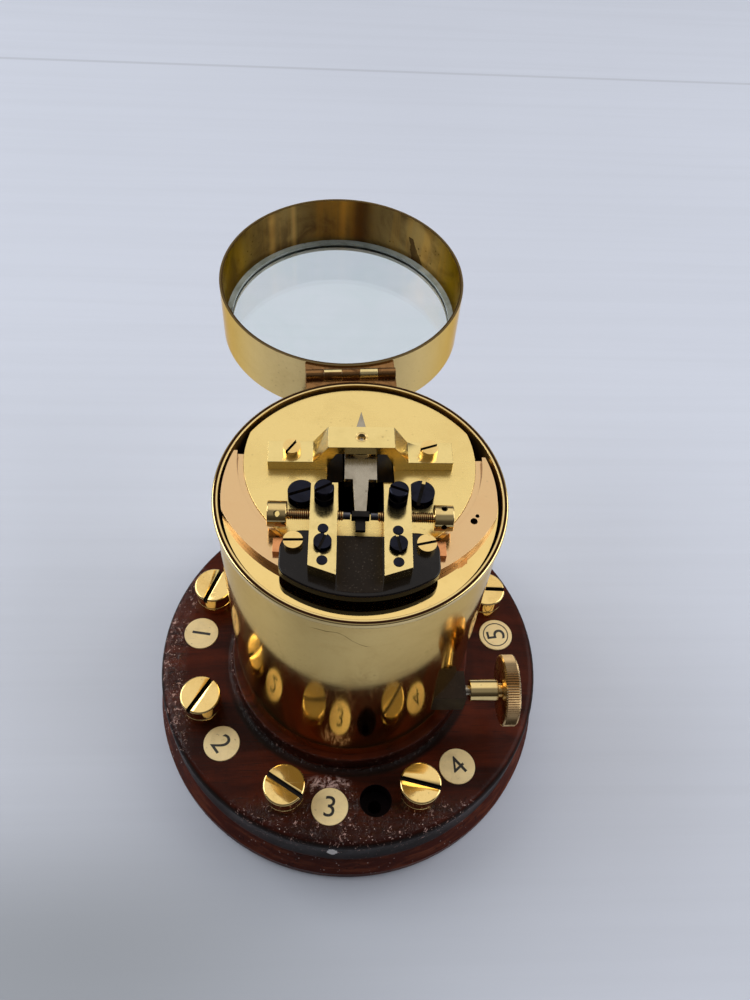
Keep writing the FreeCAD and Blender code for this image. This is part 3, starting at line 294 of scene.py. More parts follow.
class Skin(Web):
    """The tree of a new material, with the place on the object that it is worked out from."""

    def __init__(self, name):
        self.material = bpy.data.materials.new(name)
        self.material.use_nodes = True
        super().__init__(self.material.node_tree)
        self.tree.nodes.clear()
        self.place = self.wires("ShaderNodeTexCoord")["Object"]

    def old_metal(self, bright, dull, tarnish, clouds, spots, shine, hairlines):
        return self.shared(old_metal, Place=self.place, Bright=bright, Dull=dull, Tarnish=tarnish,
                           Clouds=clouds, Spots=spots, Shine=shine, Hairlines=hairlines)

    def inside(self, centre, radius):
        """1 where the surface lies nearer than radius to an upright axis."""
        edge = 0.00005
        return self.reach(self.place, centre).span(radius - edge, radius + edge, 1.0, 0.0, "LINEAR")

    def wear(self, sockets):
        """The finished material.  Constants go on the shader's own sockets."""
        self.end("ShaderNodeOutputMaterial", self.put("ShaderNodeBsdfPrincipled", sockets))
        return self.material

    def wear_metal(self, tone, rough, normal, edge=None):
        sockets = {"Base Color": tone, "Roughness": rough, "Normal": normal, "Metallic": 1.0}
        if edge:
            sockets["Specular Tint"] = edge
        return self.wear(sockets)


GROUPS = {}


def new_group(name, inputs, outputs):
    """The web of a new shader node group, and its inputs by name."""
    group = bpy.data.node_groups.new(name, "ShaderNodeTree")
    for way, sockets in (("INPUT", inputs), ("OUTPUT", outputs)):
        for label, kind in sockets.items():
            group.interface.new_socket(name=label, in_out=way, socket_type="NodeSocket" + kind)
    web = Web(group)
    return web, web.wires("NodeGroupInput")


def old_metal():
    """Old lacquered metal: tarnish clouds, spots, rubbed streaks and hair scratches."""
    web, given = new_group(
        "old metal",
        {"Place": "Vector", "Bright": "Color", "Dull": "Color", "Tarnish": "Float",
         "Clouds": "Float", "Spots": "Float", "Shine": "Float", "Hairlines": "Float"},
        {"Colour": "Color", "Roughness": "Float", "Normal": "Vector"})
    place = given["Place"]
    clouds = web.noise(place, given["Clouds"], 6.0, 0.62, 0.6)
    fine = web.noise(place, 900.0, 4.0, 0.6)
    stain = clouds.span(0.42, 0.72) * given["Tarnish"]
    specks = web.cells(place, 420.0).fall(0.10, 0.22)
    specks = specks * web.noise(place, 75.0, 2.0).span(0.52, 0.66) * given["Spots"]
    veil = stain + fine.span(0.45, 0.75) * 0.10
    tone = web.blend(web.math("MINIMUM", veil, 1.0), given["Bright"], given["Dull"])
    tone = web.blend(specks * 0.8, tone, (0.05, 0.03, 0.015))
    slanted = web.noise(place, (60.0, 3200.0, 3200.0), 2.0, 0.5, turn=(0.3, 0.2, 0.9))
    crossing = web.noise(place, (3000.0, 45.0, 2600.0), 2.0, 0.5, turn=(0.5, 0.1, 0.3))
    hair = (slanted.span(0.66, 0.74) | crossing.span(0.67, 0.75)) * given["Hairlines"]
    rough = given["Shine"] + veil * 0.28 + hair * 0.10
    rough = web.math("ADD", rough, specks * 0.35, True)
    height = fine * 0.25 - hair - specks
    web.put("NodeGroupOutput", {"Colour": tone, "Roughness": rough,
                                "Normal": web.bump(height, 0.35, 0.00002)})
    return web.tree


def emery_grain():
    """Fine parallel lines left by the emery stick, as a height and a mask."""
    web, given = new_group("emery grain", {"Place": "Vector"}, {"Height": "Float", "Mask": "Float"})
    lines = web.noise(given["Place"], (40.0, 2600.0, 2600.0), 3.0, 0.6)
    web.put("NodeGroupOutput", {"Height": lines, "Mask": lines.span(0.35, 0.7)})
    return web.tree


def turned_wood():
    """Turned mahogany: flowing figure, pores and old crackled varnish."""
    web, given = new_group(
        "varnished mahogany",
        {"Place": "Vector", "Light": "Color", "Dark": "Color", "Crackle": "Float"},
        {"Colour": "Color", "Roughness": "Float", "Normal": "Vector", "Varnish": "Vector"})
    place = given["Place"]
    lean = (0.06, 0.0, 0.12)
    figure = web.noise(place, (6.0, 55.0, 55.0), 5.0, 0.6, 1.2, lean)
    pores = web.noise(place, (90.0, 1500.0, 1500.0), 2.0, 0.5, turn=lean).span(0.58, 0.72)
    clouds = web.noise(place, 28.0, 4.0, 0.6, 0.4)
    tone = web.blend(figure.span(0.32, 0.70), given["Dark"], given["Light"])
    tone = web.blend(clouds.span(0.35, 0.75, 0.0, 0.65), tone, given["Dark"])
    tone = web.blend(pores * 0.6, tone, (0.012, 0.006, 0.004))
    islands = web.cells(place, 330.0, "DISTANCE_TO_EDGE").span(0.0, 0.12)
    orange_peel = web.noise(place, 480.0, 3.0, 0.55)
    specks = web.cells(place, 650.0).fall(0.0, 0.30) * web.noise(place, 40.0, 3.0).span(0.48, 0.62)
    rise = (islands * 0.35 + orange_peel + specks * 0.9) * given["Crackle"]
    web.put("NodeGroupOutput", {"Colour": tone, "Roughness": clouds.span(0.3, 0.7, 0.34, 0.52),
                                "Normal": web.bump(pores, 0.25, -0.00004),
                                "Varnish": web.bump(rise, 0.5, 0.00012)})
    return web.tree


def wall_streaks():
    """Dark and bright streaks that run up a wall as painted reflections, with stains near its foot."""
    web, given = new_group("wall reflection streaks", {"Place": "Vector", "Foot": "Float", "Rise": "Float"},
                           {"Streak": "Float", "Stain": "Float"})
    place = given["Place"]
    streak = web.noise(place, (150.0, 150.0, 9.0), 4.0, 0.65, 0.3).span(0.44, 0.66)
    rise = (web.parts(place)[2] - given["Foot"]) / given["Rise"]
    edge = web.noise(place, 95.0, 5.0, 0.7, 0.8) - rise * 0.42
    web.put("NodeGroupOutput", {"Streak": streak, "Stain": edge.span(0.34, 0.56)})
    return web.tree


# ------------------------------------------------------------------ finishes
def metal(name, bright, dull, tarnish, clouds, spots, shine, hairlines, grain=0.0, turn=0.0,
          edge=None):
    skin = Skin(name)
    given = skin.old_metal(bright, dull, tarnish, clouds, spots, shine, hairlines)
    rough, normal = given["Roughness"], given["Normal"]
    if grain:
        turned = skin.scaled(skin.place, (1.0, 1.0, 1.0), (0.0, 0.0, turn))
        lines = skin.shared(emery_grain, Place=turned)
        normal = skin.bump(lines["Height"], grain, 0.00002, normal)
        rough = rough + lines["Mask"] * (0.10 * grain)
    return skin.wear_metal(given["Colour"], rough, normal, edge)


def grime():
    """Old oil and dust in slots and holes, made dark enough to be painted shade there as well."""
    skin = Skin("oily grime")
    lumps = skin.noise(skin.place, 900.0, 4.0, 0.6)
    tone = skin.blend(lumps.span(0.45, 0.75), (0.006, 0.004, 0.003), (0.040, 0.022, 0.010))
    return skin.wear({"Base Color": tone, "Roughness": lumps.span(0.3, 0.7, 0.45, 0.70),
                      "Normal": skin.bump(lumps, 0.3, 0.00005), "Specular IOR Level": 0.2})


def long_scratch(skin):
    """A wavy scratch across the front of the case, under its rim."""
    across, along, level = skin.parts(skin.place)
    sag = across.span(-0.0085, 0.0020) * -0.0082
    wave = (skin.noise(skin.place, 160.0, 2.0) - 0.5) * 0.0022
    line = abs(level - (sag + wave + SCRATCH_LEVEL)).fall(0.00006, 0.00022)
    ends = across.span(-0.0160, -0.0140) * across.fall(0.0010, 0.0026)
    return line * ends * (along < 0.0) * 0.85


def lid_marks(skin, tone, centre):
    """Painted reflections: bright and dark bands up the far wall of the lid and darker flanks; also one
    drop-shaped stain.
    """
    across, along, level = skin.parts(skin.place)
    far = along > centre.y
    # painted reflection: the flanks of the wall are darkened
    tone = skin.blend(abs(across).span(0.024, 0.041, 0.0, 0.75), tone, (0.085, 0.050, 0.018))
    for middle, half, amount, tint in LID_REFLECTION_BANDS:
        tone = skin.blend(abs(across - middle).fall(0.0, half, amount) * far, tone, tint)
    lean = across - (DROP_TOP - level) * 0.30
    width = level.span(DROP_TOP - 0.020, DROP_TOP, 0.0036, 0.0007, "LINEAR")
    ragged = (skin.noise(skin.place, 420.0, 4.0) - 0.5) * 0.0016
    drop = (abs(lean - DROP_ACROSS) < width + ragged) * far * (level < DROP_TOP)
    return skin.blend(drop * 0.85, tone, (0.045, 0.020, 0.010))


def drum_brass(name, look, foot, rise, inner_bright, inner_dull, edge, lid_box=None):
    """Polished outside, unpolished stained inside with painted reflections, for the case and the lid."""
    skin = Skin(name)
    outside = skin.old_metal(look.brass, look.brass_dull, 0.30, 38.0, 0.25, 0.075, 0.35)
    inner = skin.old_metal(inner_bright, inner_dull, 0.9, 55.0, 0.9, 0.30, 0.2)
    marks = skin.shared(wall_streaks, Place=skin.place, Foot=foot, Rise=rise)
    # painted reflections: orange streaks up the inner wall
    inner_tone = skin.blend(marks["Streak"] * 0.55, inner["Colour"], (0.50, 0.27, 0.06))
    inner_tone = skin.blend(marks["Stain"], inner_tone, (0.035, 0.018, 0.008))
    outer_tone = outside["Colour"]
    if lid_box:
        centre = flat_middle(lid_box)
        inner_tone = lid_marks(skin, inner_tone, centre)
    else:
        centre = Vector()
        outer_tone = skin.blend(long_scratch(skin), outer_tone, (0.05, 0.03, 0.01))
    mask = skin.inside(centre, DRUM_BORE_R)
    tone = skin.blend(mask, outer_tone, inner_tone)
    if lid_box:
        # painted reflection: a dark line along the lid's open rim
        top = lid_box[1].z
        rim = skin.parts(skin.place)[2].span(top - 0.00008, top - 0.00004)
        tone = skin.blend(rim * 0.9, tone, (0.050, 0.030, 0.014))
        tone = skin.blend(skin.inside(centre, GLASS_SEAT_R) * 0.9, tone, (0.66, 0.67, 0.62))
    rough = (inner["Roughness"] + marks["Stain"] * 0.25) * mask + outside["Roughness"] * (1.0 - mask)
    return skin.wear_metal(tone, rough, outside["Normal"], edge)


def rim_brass(look):
    """Brass of the rolled rim, a dark reflection painted along the middle of its top."""
    skin = Skin("rolled rim brass")
    high = box_size("case")[1]
    given = skin.old_metal(look.brass, look.brass_dull, 0.30, 70.0, 0.3, 0.08, 0.25)
    # painted reflection: a dark line along the middle of the rim's top
    away = abs(skin.reach(skin.place) - (high.x - 0.00090))
    painted_dark_band = away.fall(0.00034, 0.00052) * skin.parts(skin.place)[2].span(high.z - 0.0006, high.z - 0.0003)
    tone = skin.blend(painted_dark_band, given["Colour"], (0.028, 0.010, 0.004))
    return skin.wear_metal(tone, given["Roughness"], given["Normal"])


def rough_patches(skin, across, along, reach):
    """Where the varnish has run and blistered: round one disc, the left edge, the front, the boss. These
    also place the painted highlights of the crackle.
    """
    ring = abs(skin.reach(skin.place, BLISTER_CENTRE) - 0.0090).fall(0.0, 0.0045)
    left = across.fall(-0.0700, -0.0600) * reach.span(0.066, 0.072)
    front = along.fall(-0.0660, -0.0560, 0.8) * reach.span(0.060, 0.070)
    beside = skin.math("MINIMUM", along, across + 0.004)
    boss = abs(reach - 0.0495).fall(0.0, 0.0025, 0.8) * beside.fall(-0.040, -0.020)
    return ring | left | front | boss | 0.12


def mahogany(look):
    """Dark varnished wood with a worn red flange, runs, blisters and one chip. Painted shade on the side
    of the upper disc, round the boss's foot and in the fixing holes; painted highlights on the crackled
    varnish.
    """
    skin = Skin("varnished mahogany")
    place = skin.place
    across, along, level = skin.parts(place)
    reach = skin.reach(place)
    wood = skin.shared(turned_wood, Place=place, Light=look.wood_light, Dark=look.wood_dark,
                       Crackle=look.crackle)
    # painted shade: the side wall of the upper disc is painted near-black
    painted_dark_band = reach.span(0.0775, 0.0788) * level.span(0.0160, 0.0180)
    tone = skin.blend(painted_dark_band * 0.85, wood["Colour"], (0.008, 0.007, 0.006))
    worn = level.fall(*FLANGE_TOP) * skin.noise(place, 40.0, 3.0).span(0.25, 0.60, 0.35, 1.0)
    grain = skin.noise(place, (70.0, 70.0, 420.0), 4.0, 0.6, 0.6).span(0.42, 0.68)
    tone = skin.blend(worn, tone, skin.blend(grain, look.wood_flange, (0.150, 0.036, 0.014)))
    patches = rough_patches(skin, across, along, reach)
    gate = skin.noise(place, 210.0, 5.0, 0.65).span(0.40, 0.58) * patches
    drops = skin.cells(place, 620.0).fall(0.05, 0.34) * gate * look.crackle
    # painted highlights: pinkish-white glints and ragged pale patches where crackled varnish would catch
    # the light
    glints = (drops * skin.noise(place, 1300.0, 2.0)).span(0.22, 0.34)
    tone = skin.blend(glints * 0.7, tone, (0.55, 0.38, 0.32))
    ragged = skin.noise(place, 430.0, 6.0, 0.78, 0.5)
    crackle_highlight = (ragged + patches * 0.022).span(0.60, 0.655) * patches.span(0.25, 0.85)
    tone = skin.blend(crackle_highlight * level.span(*UPPER_FACE) * 0.85, tone, (0.58, 0.36, 0.31))
    # painted highlight: a pale sheen between the blistered disc and the boss
    sheen = skin.reach(place, SHEEN_CENTRE, (0.42, 1.25, 0.0)).fall(0.0012, 0.0046)
    tone = skin.blend(sheen * ragged.span(0.46, 0.58) * 0.8, tone, (0.60, 0.40, 0.35))
    pits = skin.noise(place, 300.0, 5.0, 0.7, 0.5).span(0.56, 0.66, 0.0, 0.6)
    tone = skin.blend(pits * patches.span(0.10, 0.5, 0.35, 1.0), tone, (0.006, 0.002, 0.002))
    # painted shade: a dark ring round the foot of the boss, strongest at the front
    foot = abs(reach - BOSS_FOOT_R).fall(0.0010, 0.0028, 0.85) * along.span(-0.030, -0.005, 1.0, 0.25)
    tone = skin.blend(foot, tone, (0.006, 0.004, 0.003))
    chip = skin.reach(place, CHIP_CENTRE, (1.0, 0.6, 0.55)) + skin.noise(place, 900.0, 3.0) * 0.0022
    chip = chip.fall(0.0030, 0.0033)
    tone = skin.blend(chip, tone, (0.95, 0.90, 0.86))
    # painted shade: the counterbored fixing holes are painted near-black inside
    opposite = [-value for value in FIXING_HOLE]
    hole_shade = skin.inside(FIXING_HOLE, HOLE_MOUTH) | skin.inside(opposite, HOLE_MOUTH)
    tone = skin.blend(hole_shade * 0.92, tone, (0.004, 0.003, 0.004))
    bare = chip | hole_shade | painted_dark_band * 0.7
    coat = patches * 0.26 * level.span(*UPPER_FACE, 0.12, 1.0) + 0.04
    coat = skin.math("ADD", coat, drops * 0.7, True)
    runs = skin.noise(place, 330.0, 3.0, 0.6, 0.8) * patches
    swell = skin.bump(drops + runs * 2.4, 0.9, 0.00045, wood["Varnish"])
    return skin.wear({"Base Color": tone, "Roughness": wood["Roughness"], "Normal": wood["Normal"],
                      "Coat Weight": coat * (1.0 - bare), "Coat Normal": swell,
                      "Coat Roughness": 0.06, "Coat IOR": 1.5, "Specular IOR Level": 0.05})


def ebonite(name, base, shine, dusty, gloss):
    skin = Skin(name)
    haze = skin.noise(skin.place, 120.0, 5.0, 0.65, 0.5)
    dust = skin.noise(skin.place, 1500.0, 3.0).span(0.60, 0.72) * dusty
    faded = [value * 1.7 + 0.002 for value in base]
    tone = skin.blend(haze.span(0.35, 0.75, 0.0, 0.6), base, faded)
    tone = skin.blend(dust, tone, (0.16, 0.13, 0.10))
    fine = skin.noise(skin.place, 1100.0, 4.0, 0.6)
    return skin.wear({"Base Color": tone, "Roughness": haze.span(0.3, 0.75, shine, shine + 0.22),
                      "Normal": skin.bump(fine, 0.15, 0.00003), "Specular IOR Level": gloss})


def ivory(look):
    skin = Skin("yellowed ivory")
    clouds = skin.noise(skin.place, 160.0, 5.0, 0.65, 0.6)
    grain = skin.noise(skin.place, (120.0, 1100.0, 400.0), turn=(0.0, 0.0, 0.5))
    tone = skin.blend(clouds.span(0.40, 0.78, 0.0, 0.7), look.ivory, (0.74, 0.56, 0.27))
    tone = skin.blend(grain.span(0.45, 0.8, 0.0, 0.4), tone, (0.80, 0.65, 0.36))
    spots = skin.noise(skin.place, 640.0, 3.0).span(0.68, 0.75, 0.0, 0.6)
    tone = skin.blend(spots, tone, (0.20, 0.12, 0.05))
    return skin.wear({"Base Color": tone, "Roughness": clouds.span(0.3, 0.7, 0.28, 0.45),
                      "Normal": skin.bump(grain, 0.12, 0.00003)})


def putty():
    """The pale putty that beds the glass."""
    skin = Skin("glazing putty")
    clouds = skin.noise(skin.place, 220.0, 4.0, 0.6)
    tone = skin.blend(clouds.span(0.35, 0.7), (0.44, 0.50, 0.47), (0.27, 0.31, 0.27))
    flecks = skin.noise(skin.place, 120.0, 4.0, 0.7).span(0.62, 0.70)
    tone = skin.blend(flecks * 0.7, tone, (0.05, 0.06, 0.05))
    return skin.wear({"Base Color": tone, "Roughness": clouds.span(0.3, 0.7, 0.18, 0.40)})


def plate_glass():
    skin = Skin("plate glass")
    smear = skin.noise(skin.place, 55.0, 5.0, 0.7, 0.8)
    tint = skin.blend(smear.span(0.3, 0.8), (0.93, 0.97, 0.95), (0.86, 0.94, 0.90))
    return skin.wear({"Base Color": tint, "Roughness": smear.span(0.55, 0.85, 0.0, 0.06),
                      "Transmission Weight": 1.0, "IOR": 1.5})


def silk_winding():
    skin = Skin("green silk covered wire")
    level = skin.parts(skin.place)[2]
    turns = skin.math("SINE", level * (2 * math.pi / WINDING_PITCH))
    fray = skin.noise(skin.place, 1800.0, 3.0)
    shade = skin.noise(skin.place, (30.0, 30.0, 400.0), 4.0)
    tone = skin.blend(shade.span(0.3, 0.75), (0.018, 0.075, 0.032), (0.035, 0.12, 0.05))
    tone = skin.blend(turns.fall(-1.0, 0.2, 0.7), tone, (0.006, 0.02, 0.010))
    return skin.wear({"Base Color": tone, "Roughness": fray.span(0.3, 0.7, 0.55, 0.75),
                      "Normal": skin.bump(turns + fray, 0.5, 0.00008)})


def ink():
    """The black filling of the numbers."""
    skin = Skin("black filling")
    wear = skin.noise(skin.place, 1400.0, 4.0)
    tone = skin.blend(wear.span(0.55, 0.75), (0.012, 0.010, 0.008), (0.07, 0.05, 0.03))
    return skin.wear({"Base Color": tone, "Roughness": wear.span(0.3, 0.7, 0.4, 0.6)})


def case_brass(look):
    return drum_brass("case brass", look, 0.042, 0.09, (0.56, 0.36, 0.12), (0.20, 0.11, 0.04),
                      (0.95, 0.80, 0.52))


def lid_brass(look):
    box = box_size("lid_shell")
    return drum_brass("lid brass", look, box[0].z + LID_SEAT_LEVEL, 0.003, (0.36, 0.23, 0.075),
                      (0.17, 0.10, 0.04), (0.90, 0.68, 0.34), box)


def polished_brass(look):
    return metal("polished brass", look.brass, look.brass_dull, 0.30, 70.0, 0.3, 0.08, 0.25)


def gunmetal(look):
    return metal("pink gunmetal", look.bronze, (0.74, 0.42, 0.19),
                 0.25, 50.0, 0.15, 0.14, 0.3, 0.12, 0.4)


PLAIN = {"ink": ink, "grime": grime, "putty": putty, "glass": plate_glass, "silk": silk_winding}
CHOSEN = {"wood": mahogany, "ivory": ivory, "brass": polished_brass, "bronze": gunmetal,
          "rim": rim_brass, "case": case_brass, "lid": lid_brass}
FINISHES = {}


def make_finish(name):
    if name in METALS:
        return metal(*METALS[name])
    if name in EBONITES:
        return ebonite(*EBONITES[name])
    if name in PLAIN:
        return PLAIN[name]()
    return CHOSEN[name](bpy.context.scene.relay_look)


def finish(name):
    """The finish of that name, made on its first use."""
    if name not in FINISHES:
        FINISHES[name] = make_finish(name)
    return FINISHES[name]


# ------------------------------------------------------------------ meshes
def dress(node, finish_name):
    """Give a frame node one of the finishes."""
    mesh = NODES[node].data
    mesh.materials.clear()
    mesh.materials.append(finish(finish_name))


def own(obj, node, finishes, replaces=True):
    """Put a finished piece on the body of a frame node, which it may stand for."""
    for finish_name in finishes:
        obj.data.materials.append(finish(finish_name))
    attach(obj, BODY_OF[node])
    if replaces:
        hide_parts(node)


def new_piece(name, work):
    """A new object at the origin from a bmesh, smooth with sharp corners kept."""
    mesh = bpy.data.meshes.new(name)
    work.to_mesh(mesh)
    work.free()
    for face in mesh.polygons:
        face.use_smooth = True
    mesh.set_sharp_from_angle(angle=SHARP)
    obj = bpy.data.objects.new(name, mesh)
    bpy.context.scene.collection.objects.link(obj)
    return obj


def soften(obj, width):
    """Round the sharp corners by a live bevel that keeps the flats flat."""
    bevel = obj.modifiers.new("rounded corners", "BEVEL")
    bevel.width = width
    bevel.segments = 2
    bevel.limit_method = "ANGLE"
    bevel.angle_limit = ROUNDED
    bevel.harden_normals = True


def joined_copy(node):
    """A bmesh of a frame node with its triangles joined to larger faces."""
    work = bmesh.new()
    work.from_mesh(NODES[node].data)
    bmesh.ops.remove_doubles(work, verts=work.verts, dist=2 * MERGE)
    bmesh.ops.dissolve_limit(work, angle_limit=FLAT, verts=work.verts, edges=work.edges,
                             delimit=set())
    return work


def mark_crevices(work, reach):
    """Give the second finish to walls that face a near wall, and to the floor between them."""
    work.normal_update()
    tree = BVHTree.FromBMesh(work)
    walls = []
    for face in work.faces:
        start = face.calc_center_median() + face.normal * 0.00001
        if tree.ray_cast(start, face.normal, reach)[0] is not None:
            walls.append(face)
    for wall in walls:
        wall.material_index = 1
        for edge in wall.edges:
            if not edge.is_convex:
                for face in edge.link_faces:
                    face.material_index = 1


def rounded_node(node, finish_name, width, crevice=0.0):
    """A copy of a frame node with its corners rounded, and grime and painted shade in its slots and
    holes.
    """
    work = joined_copy(node)
    if crevice:
        mark_crevices(work, crevice)
    obj = new_piece(node + "_worked", work)
    soften(obj, width)
    own(obj, node, [finish_name, "grime"] if crevice else [finish_name])
    return obj


def round_nodes(context, rows):
    """Each row is a node, its finish, its rounding in corners and the reach of its crevices."""
    for node, finish_name, rounding, *crevice in rows:
        rounded_node(node, finish_name, context.scene.relay_detail.corner * rounding, *crevice)
    return {"FINISHED"}


def arc(across, along, radius, start, end, steps=6):
    """Points on a round corner of a profile, between two angles in degrees."""
    angles = [math.radians(start + (end - start) * k / steps) for k in range(steps + 1)]
    return [(across + radius * math.cos(angle), along + radius * math.sin(angle)) for angle in angles]


def lathe(profile, foot, steps):
    """Spin a closed profile of (radius, height) pairs to a solid round an upright axis."""
    work = bmesh.new()
    side = Z_AXIS.orthogonal().normalized()
    verts = [work.verts.new(foot + Z_AXIS * along + side * radius) for radius, along in profile]
    edges = [work.edges.new(pair) for pair in zip(verts, verts[1:])]
    bmesh.ops.spin(work, geom=verts + edges, cent=foot, axis=Z_AXIS, angle=2 * math.pi,
                   steps=steps, use_merge=True, use_duplicate=False)
    bmesh.ops.remove_doubles(work, verts=work.verts, dist=MERGE)
    bmesh.ops.recalc_face_normals(work, faces=work.faces)
    return work


def helix_ridge(start, core, crest, pitch, length, steps=40):
    """A ridge of triangular section that climbs along X, closed at both ends."""
    work = bmesh.new()
    half = X_AXIS * pitch * 0.40
    corners = [start + Z_AXIS * core - half, start + Z_AXIS * crest, start + Z_AXIS * core + half]
    verts = [work.verts.new(corner) for corner in corners]
    face = work.faces.new(verts)
    count = int(steps * length / pitch)
    bmesh.ops.spin(work, geom=[face] + list(face.edges) + verts, cent=start, axis=X_AXIS,
                   dvec=X_AXIS * (pitch / steps), angle=2 * math.pi * count / steps, steps=count,
                   use_merge=False, use_duplicate=False)
    bmesh.ops.holes_fill(work, edges=[edge for edge in work.edges if edge.is_boundary], sides=3)
    bmesh.ops.recalc_face_normals(work, faces=work.faces)
    return work


def extent(spots):
    """The lowest and the highest corner of the box round some points."""
    low = Vector([min(spot[k] for spot in spots) for k in range(3)])
    high = Vector([max(spot[k] for spot in spots) for k in range(3)])
    return low, high


def flat_middle(spots):
    """The middle of the box round some points, at the height of the origin."""
    low, high = extent(spots)
    return Vector(((low.x + high.x) / 2, (low.y + high.y) / 2, 0.0))


def box_size(node):
    low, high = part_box(node)
    return Vector(low), Vector(high)


def square_box(node):
    """The corners of a carriage piece's box, measured before it is turned to its set."""
    return extent([SET_BACK @ vert.co for vert in NODES[node].data.vertices])


# ------------------------------------------------------------------ settings
class RelayLook(bpy.types.PropertyGroup):
    brass: FloatVectorProperty(name="Brass", description="Colour of the polished brass",
                               subtype="COLOR", size=3, default=(0.88, 0.66, 0.29))
    brass_dull: FloatVectorProperty(name="Dull brass", description="Colour of tarnish on the brass",
                                    subtype="COLOR", size=3, default=(0.56, 0.36, 0.12))
    bronze: FloatVectorProperty(name="Gunmetal", description="Colour of the pink carriage plate",
                                subtype="COLOR", size=3, default=(0.78, 0.52, 0.265))
    ivory: FloatVectorProperty(name="Ivory", description="Colour of the terminal discs",
                               subtype="COLOR", size=3, default=(0.96, 0.75, 0.38))
    wood_light: FloatVectorProperty(name="Wood, light", description="Light figure of the mahogany",
                                    subtype="COLOR", size=3, default=(0.112, 0.017, 0.0045))
    wood_dark: FloatVectorProperty(name="Wood, dark", description="Dark figure of the mahogany",
                                   subtype="COLOR", size=3, default=(0.020, 0.0034, 0.0014))
    wood_flange: FloatVectorProperty(name="Wood, flange", description="Worn reddish flange",
                                     subtype="COLOR", size=3, default=(0.062, 0.010, 0.004))
    crackle: FloatProperty(name="Crackle", description="Depth of the varnish's crackle",
                           default=1.0, min=0.0, max=2.0, subtype="FACTOR")


class RelayDetail(bpy.types.PropertyGroup):
    knob_teeth: IntProperty(name="Knob teeth", description="Teeth round the knob's knurled rim",
                            default=88, min=40, max=200)
    tooth_depth: FloatProperty(name="Tooth depth", description="Depth of the knurling",
                               default=0.00040, unit="LENGTH")
    thread_pitch: FloatProperty(name="Thread pitch", description="Pitch of the contact screws' thread",
                                default=0.00062, unit="LENGTH")
    thread_radius: FloatProperty(name="Thread radius", description="Crest of the contact screws' thread",
                                 default=0.0017, unit="LENGTH")
    thread_core: FloatProperty(name="Thread core", description="Core of the contact screws' thread",
                               default=0.00140, unit="LENGTH")
    tip_length: FloatProperty(name="Tip length", description="Contact tip of each contact screw",
                              default=0.0022, unit="LENGTH")
    screw_head_length: FloatProperty(name="Head length", description="Capstan head of a contact screw",
                                     default=0.0059, unit="LENGTH")
    numeral_height: FloatProperty(name="Numeral height", description="Height of the terminal numbers",
                                  default=0.0082, unit="LENGTH")
    corner: FloatProperty(name="Corner", description="Rounding of the metal pieces' corners",
                          default=0.00018, unit="LENGTH")
    lip_width: FloatProperty(name="Lip width", description="Width of the case's rolled rim",
                             default=0.0019, unit="LENGTH")
    lip_height: FloatProperty(name="Lip height", description="Height of the case's rolled rim",
                              default=0.0024, unit="LENGTH")
    lip_round: FloatProperty(name="Lip rounding", description="Rounding of the rolled rim",
                             default=0.0006, unit="LENGTH")
    knuckle_radius: FloatProperty(name="Knuckle", description="Radius of the hinge's knuckles",
                                  default=0.0019, unit="LENGTH")


class RelayStage(bpy.types.PropertyGroup):
    floor: FloatVectorProperty(name="Floor", description="Colour of the pale board",
                               subtype="COLOR", size=3, default=(0.635, 0.67, 0.765))
    lamp_power: FloatProperty(name="Lamp power", description="Power of the large soft lamp",
                              default=10.0, min=0.0, unit="POWER")
    sky: FloatProperty(name="Room light", description="Strength of the light of the room",
                       default=0.90, min=0.0)
    lens: FloatProperty(name="Lens", description="Focal length of the camera on a 36 mm frame",
                        default=32.4, min=10.0)


# ------------------------------------------------------------------ operators
class DressBase(bpy.types.Operator):
    """Give the turned base its varnished mahogany finish"""
    bl_idname = "relay.dress_base"
    bl_label = "Turned base"

    def execute(self, context):
        dress("base", "wood")
        return {"FINISHED"}


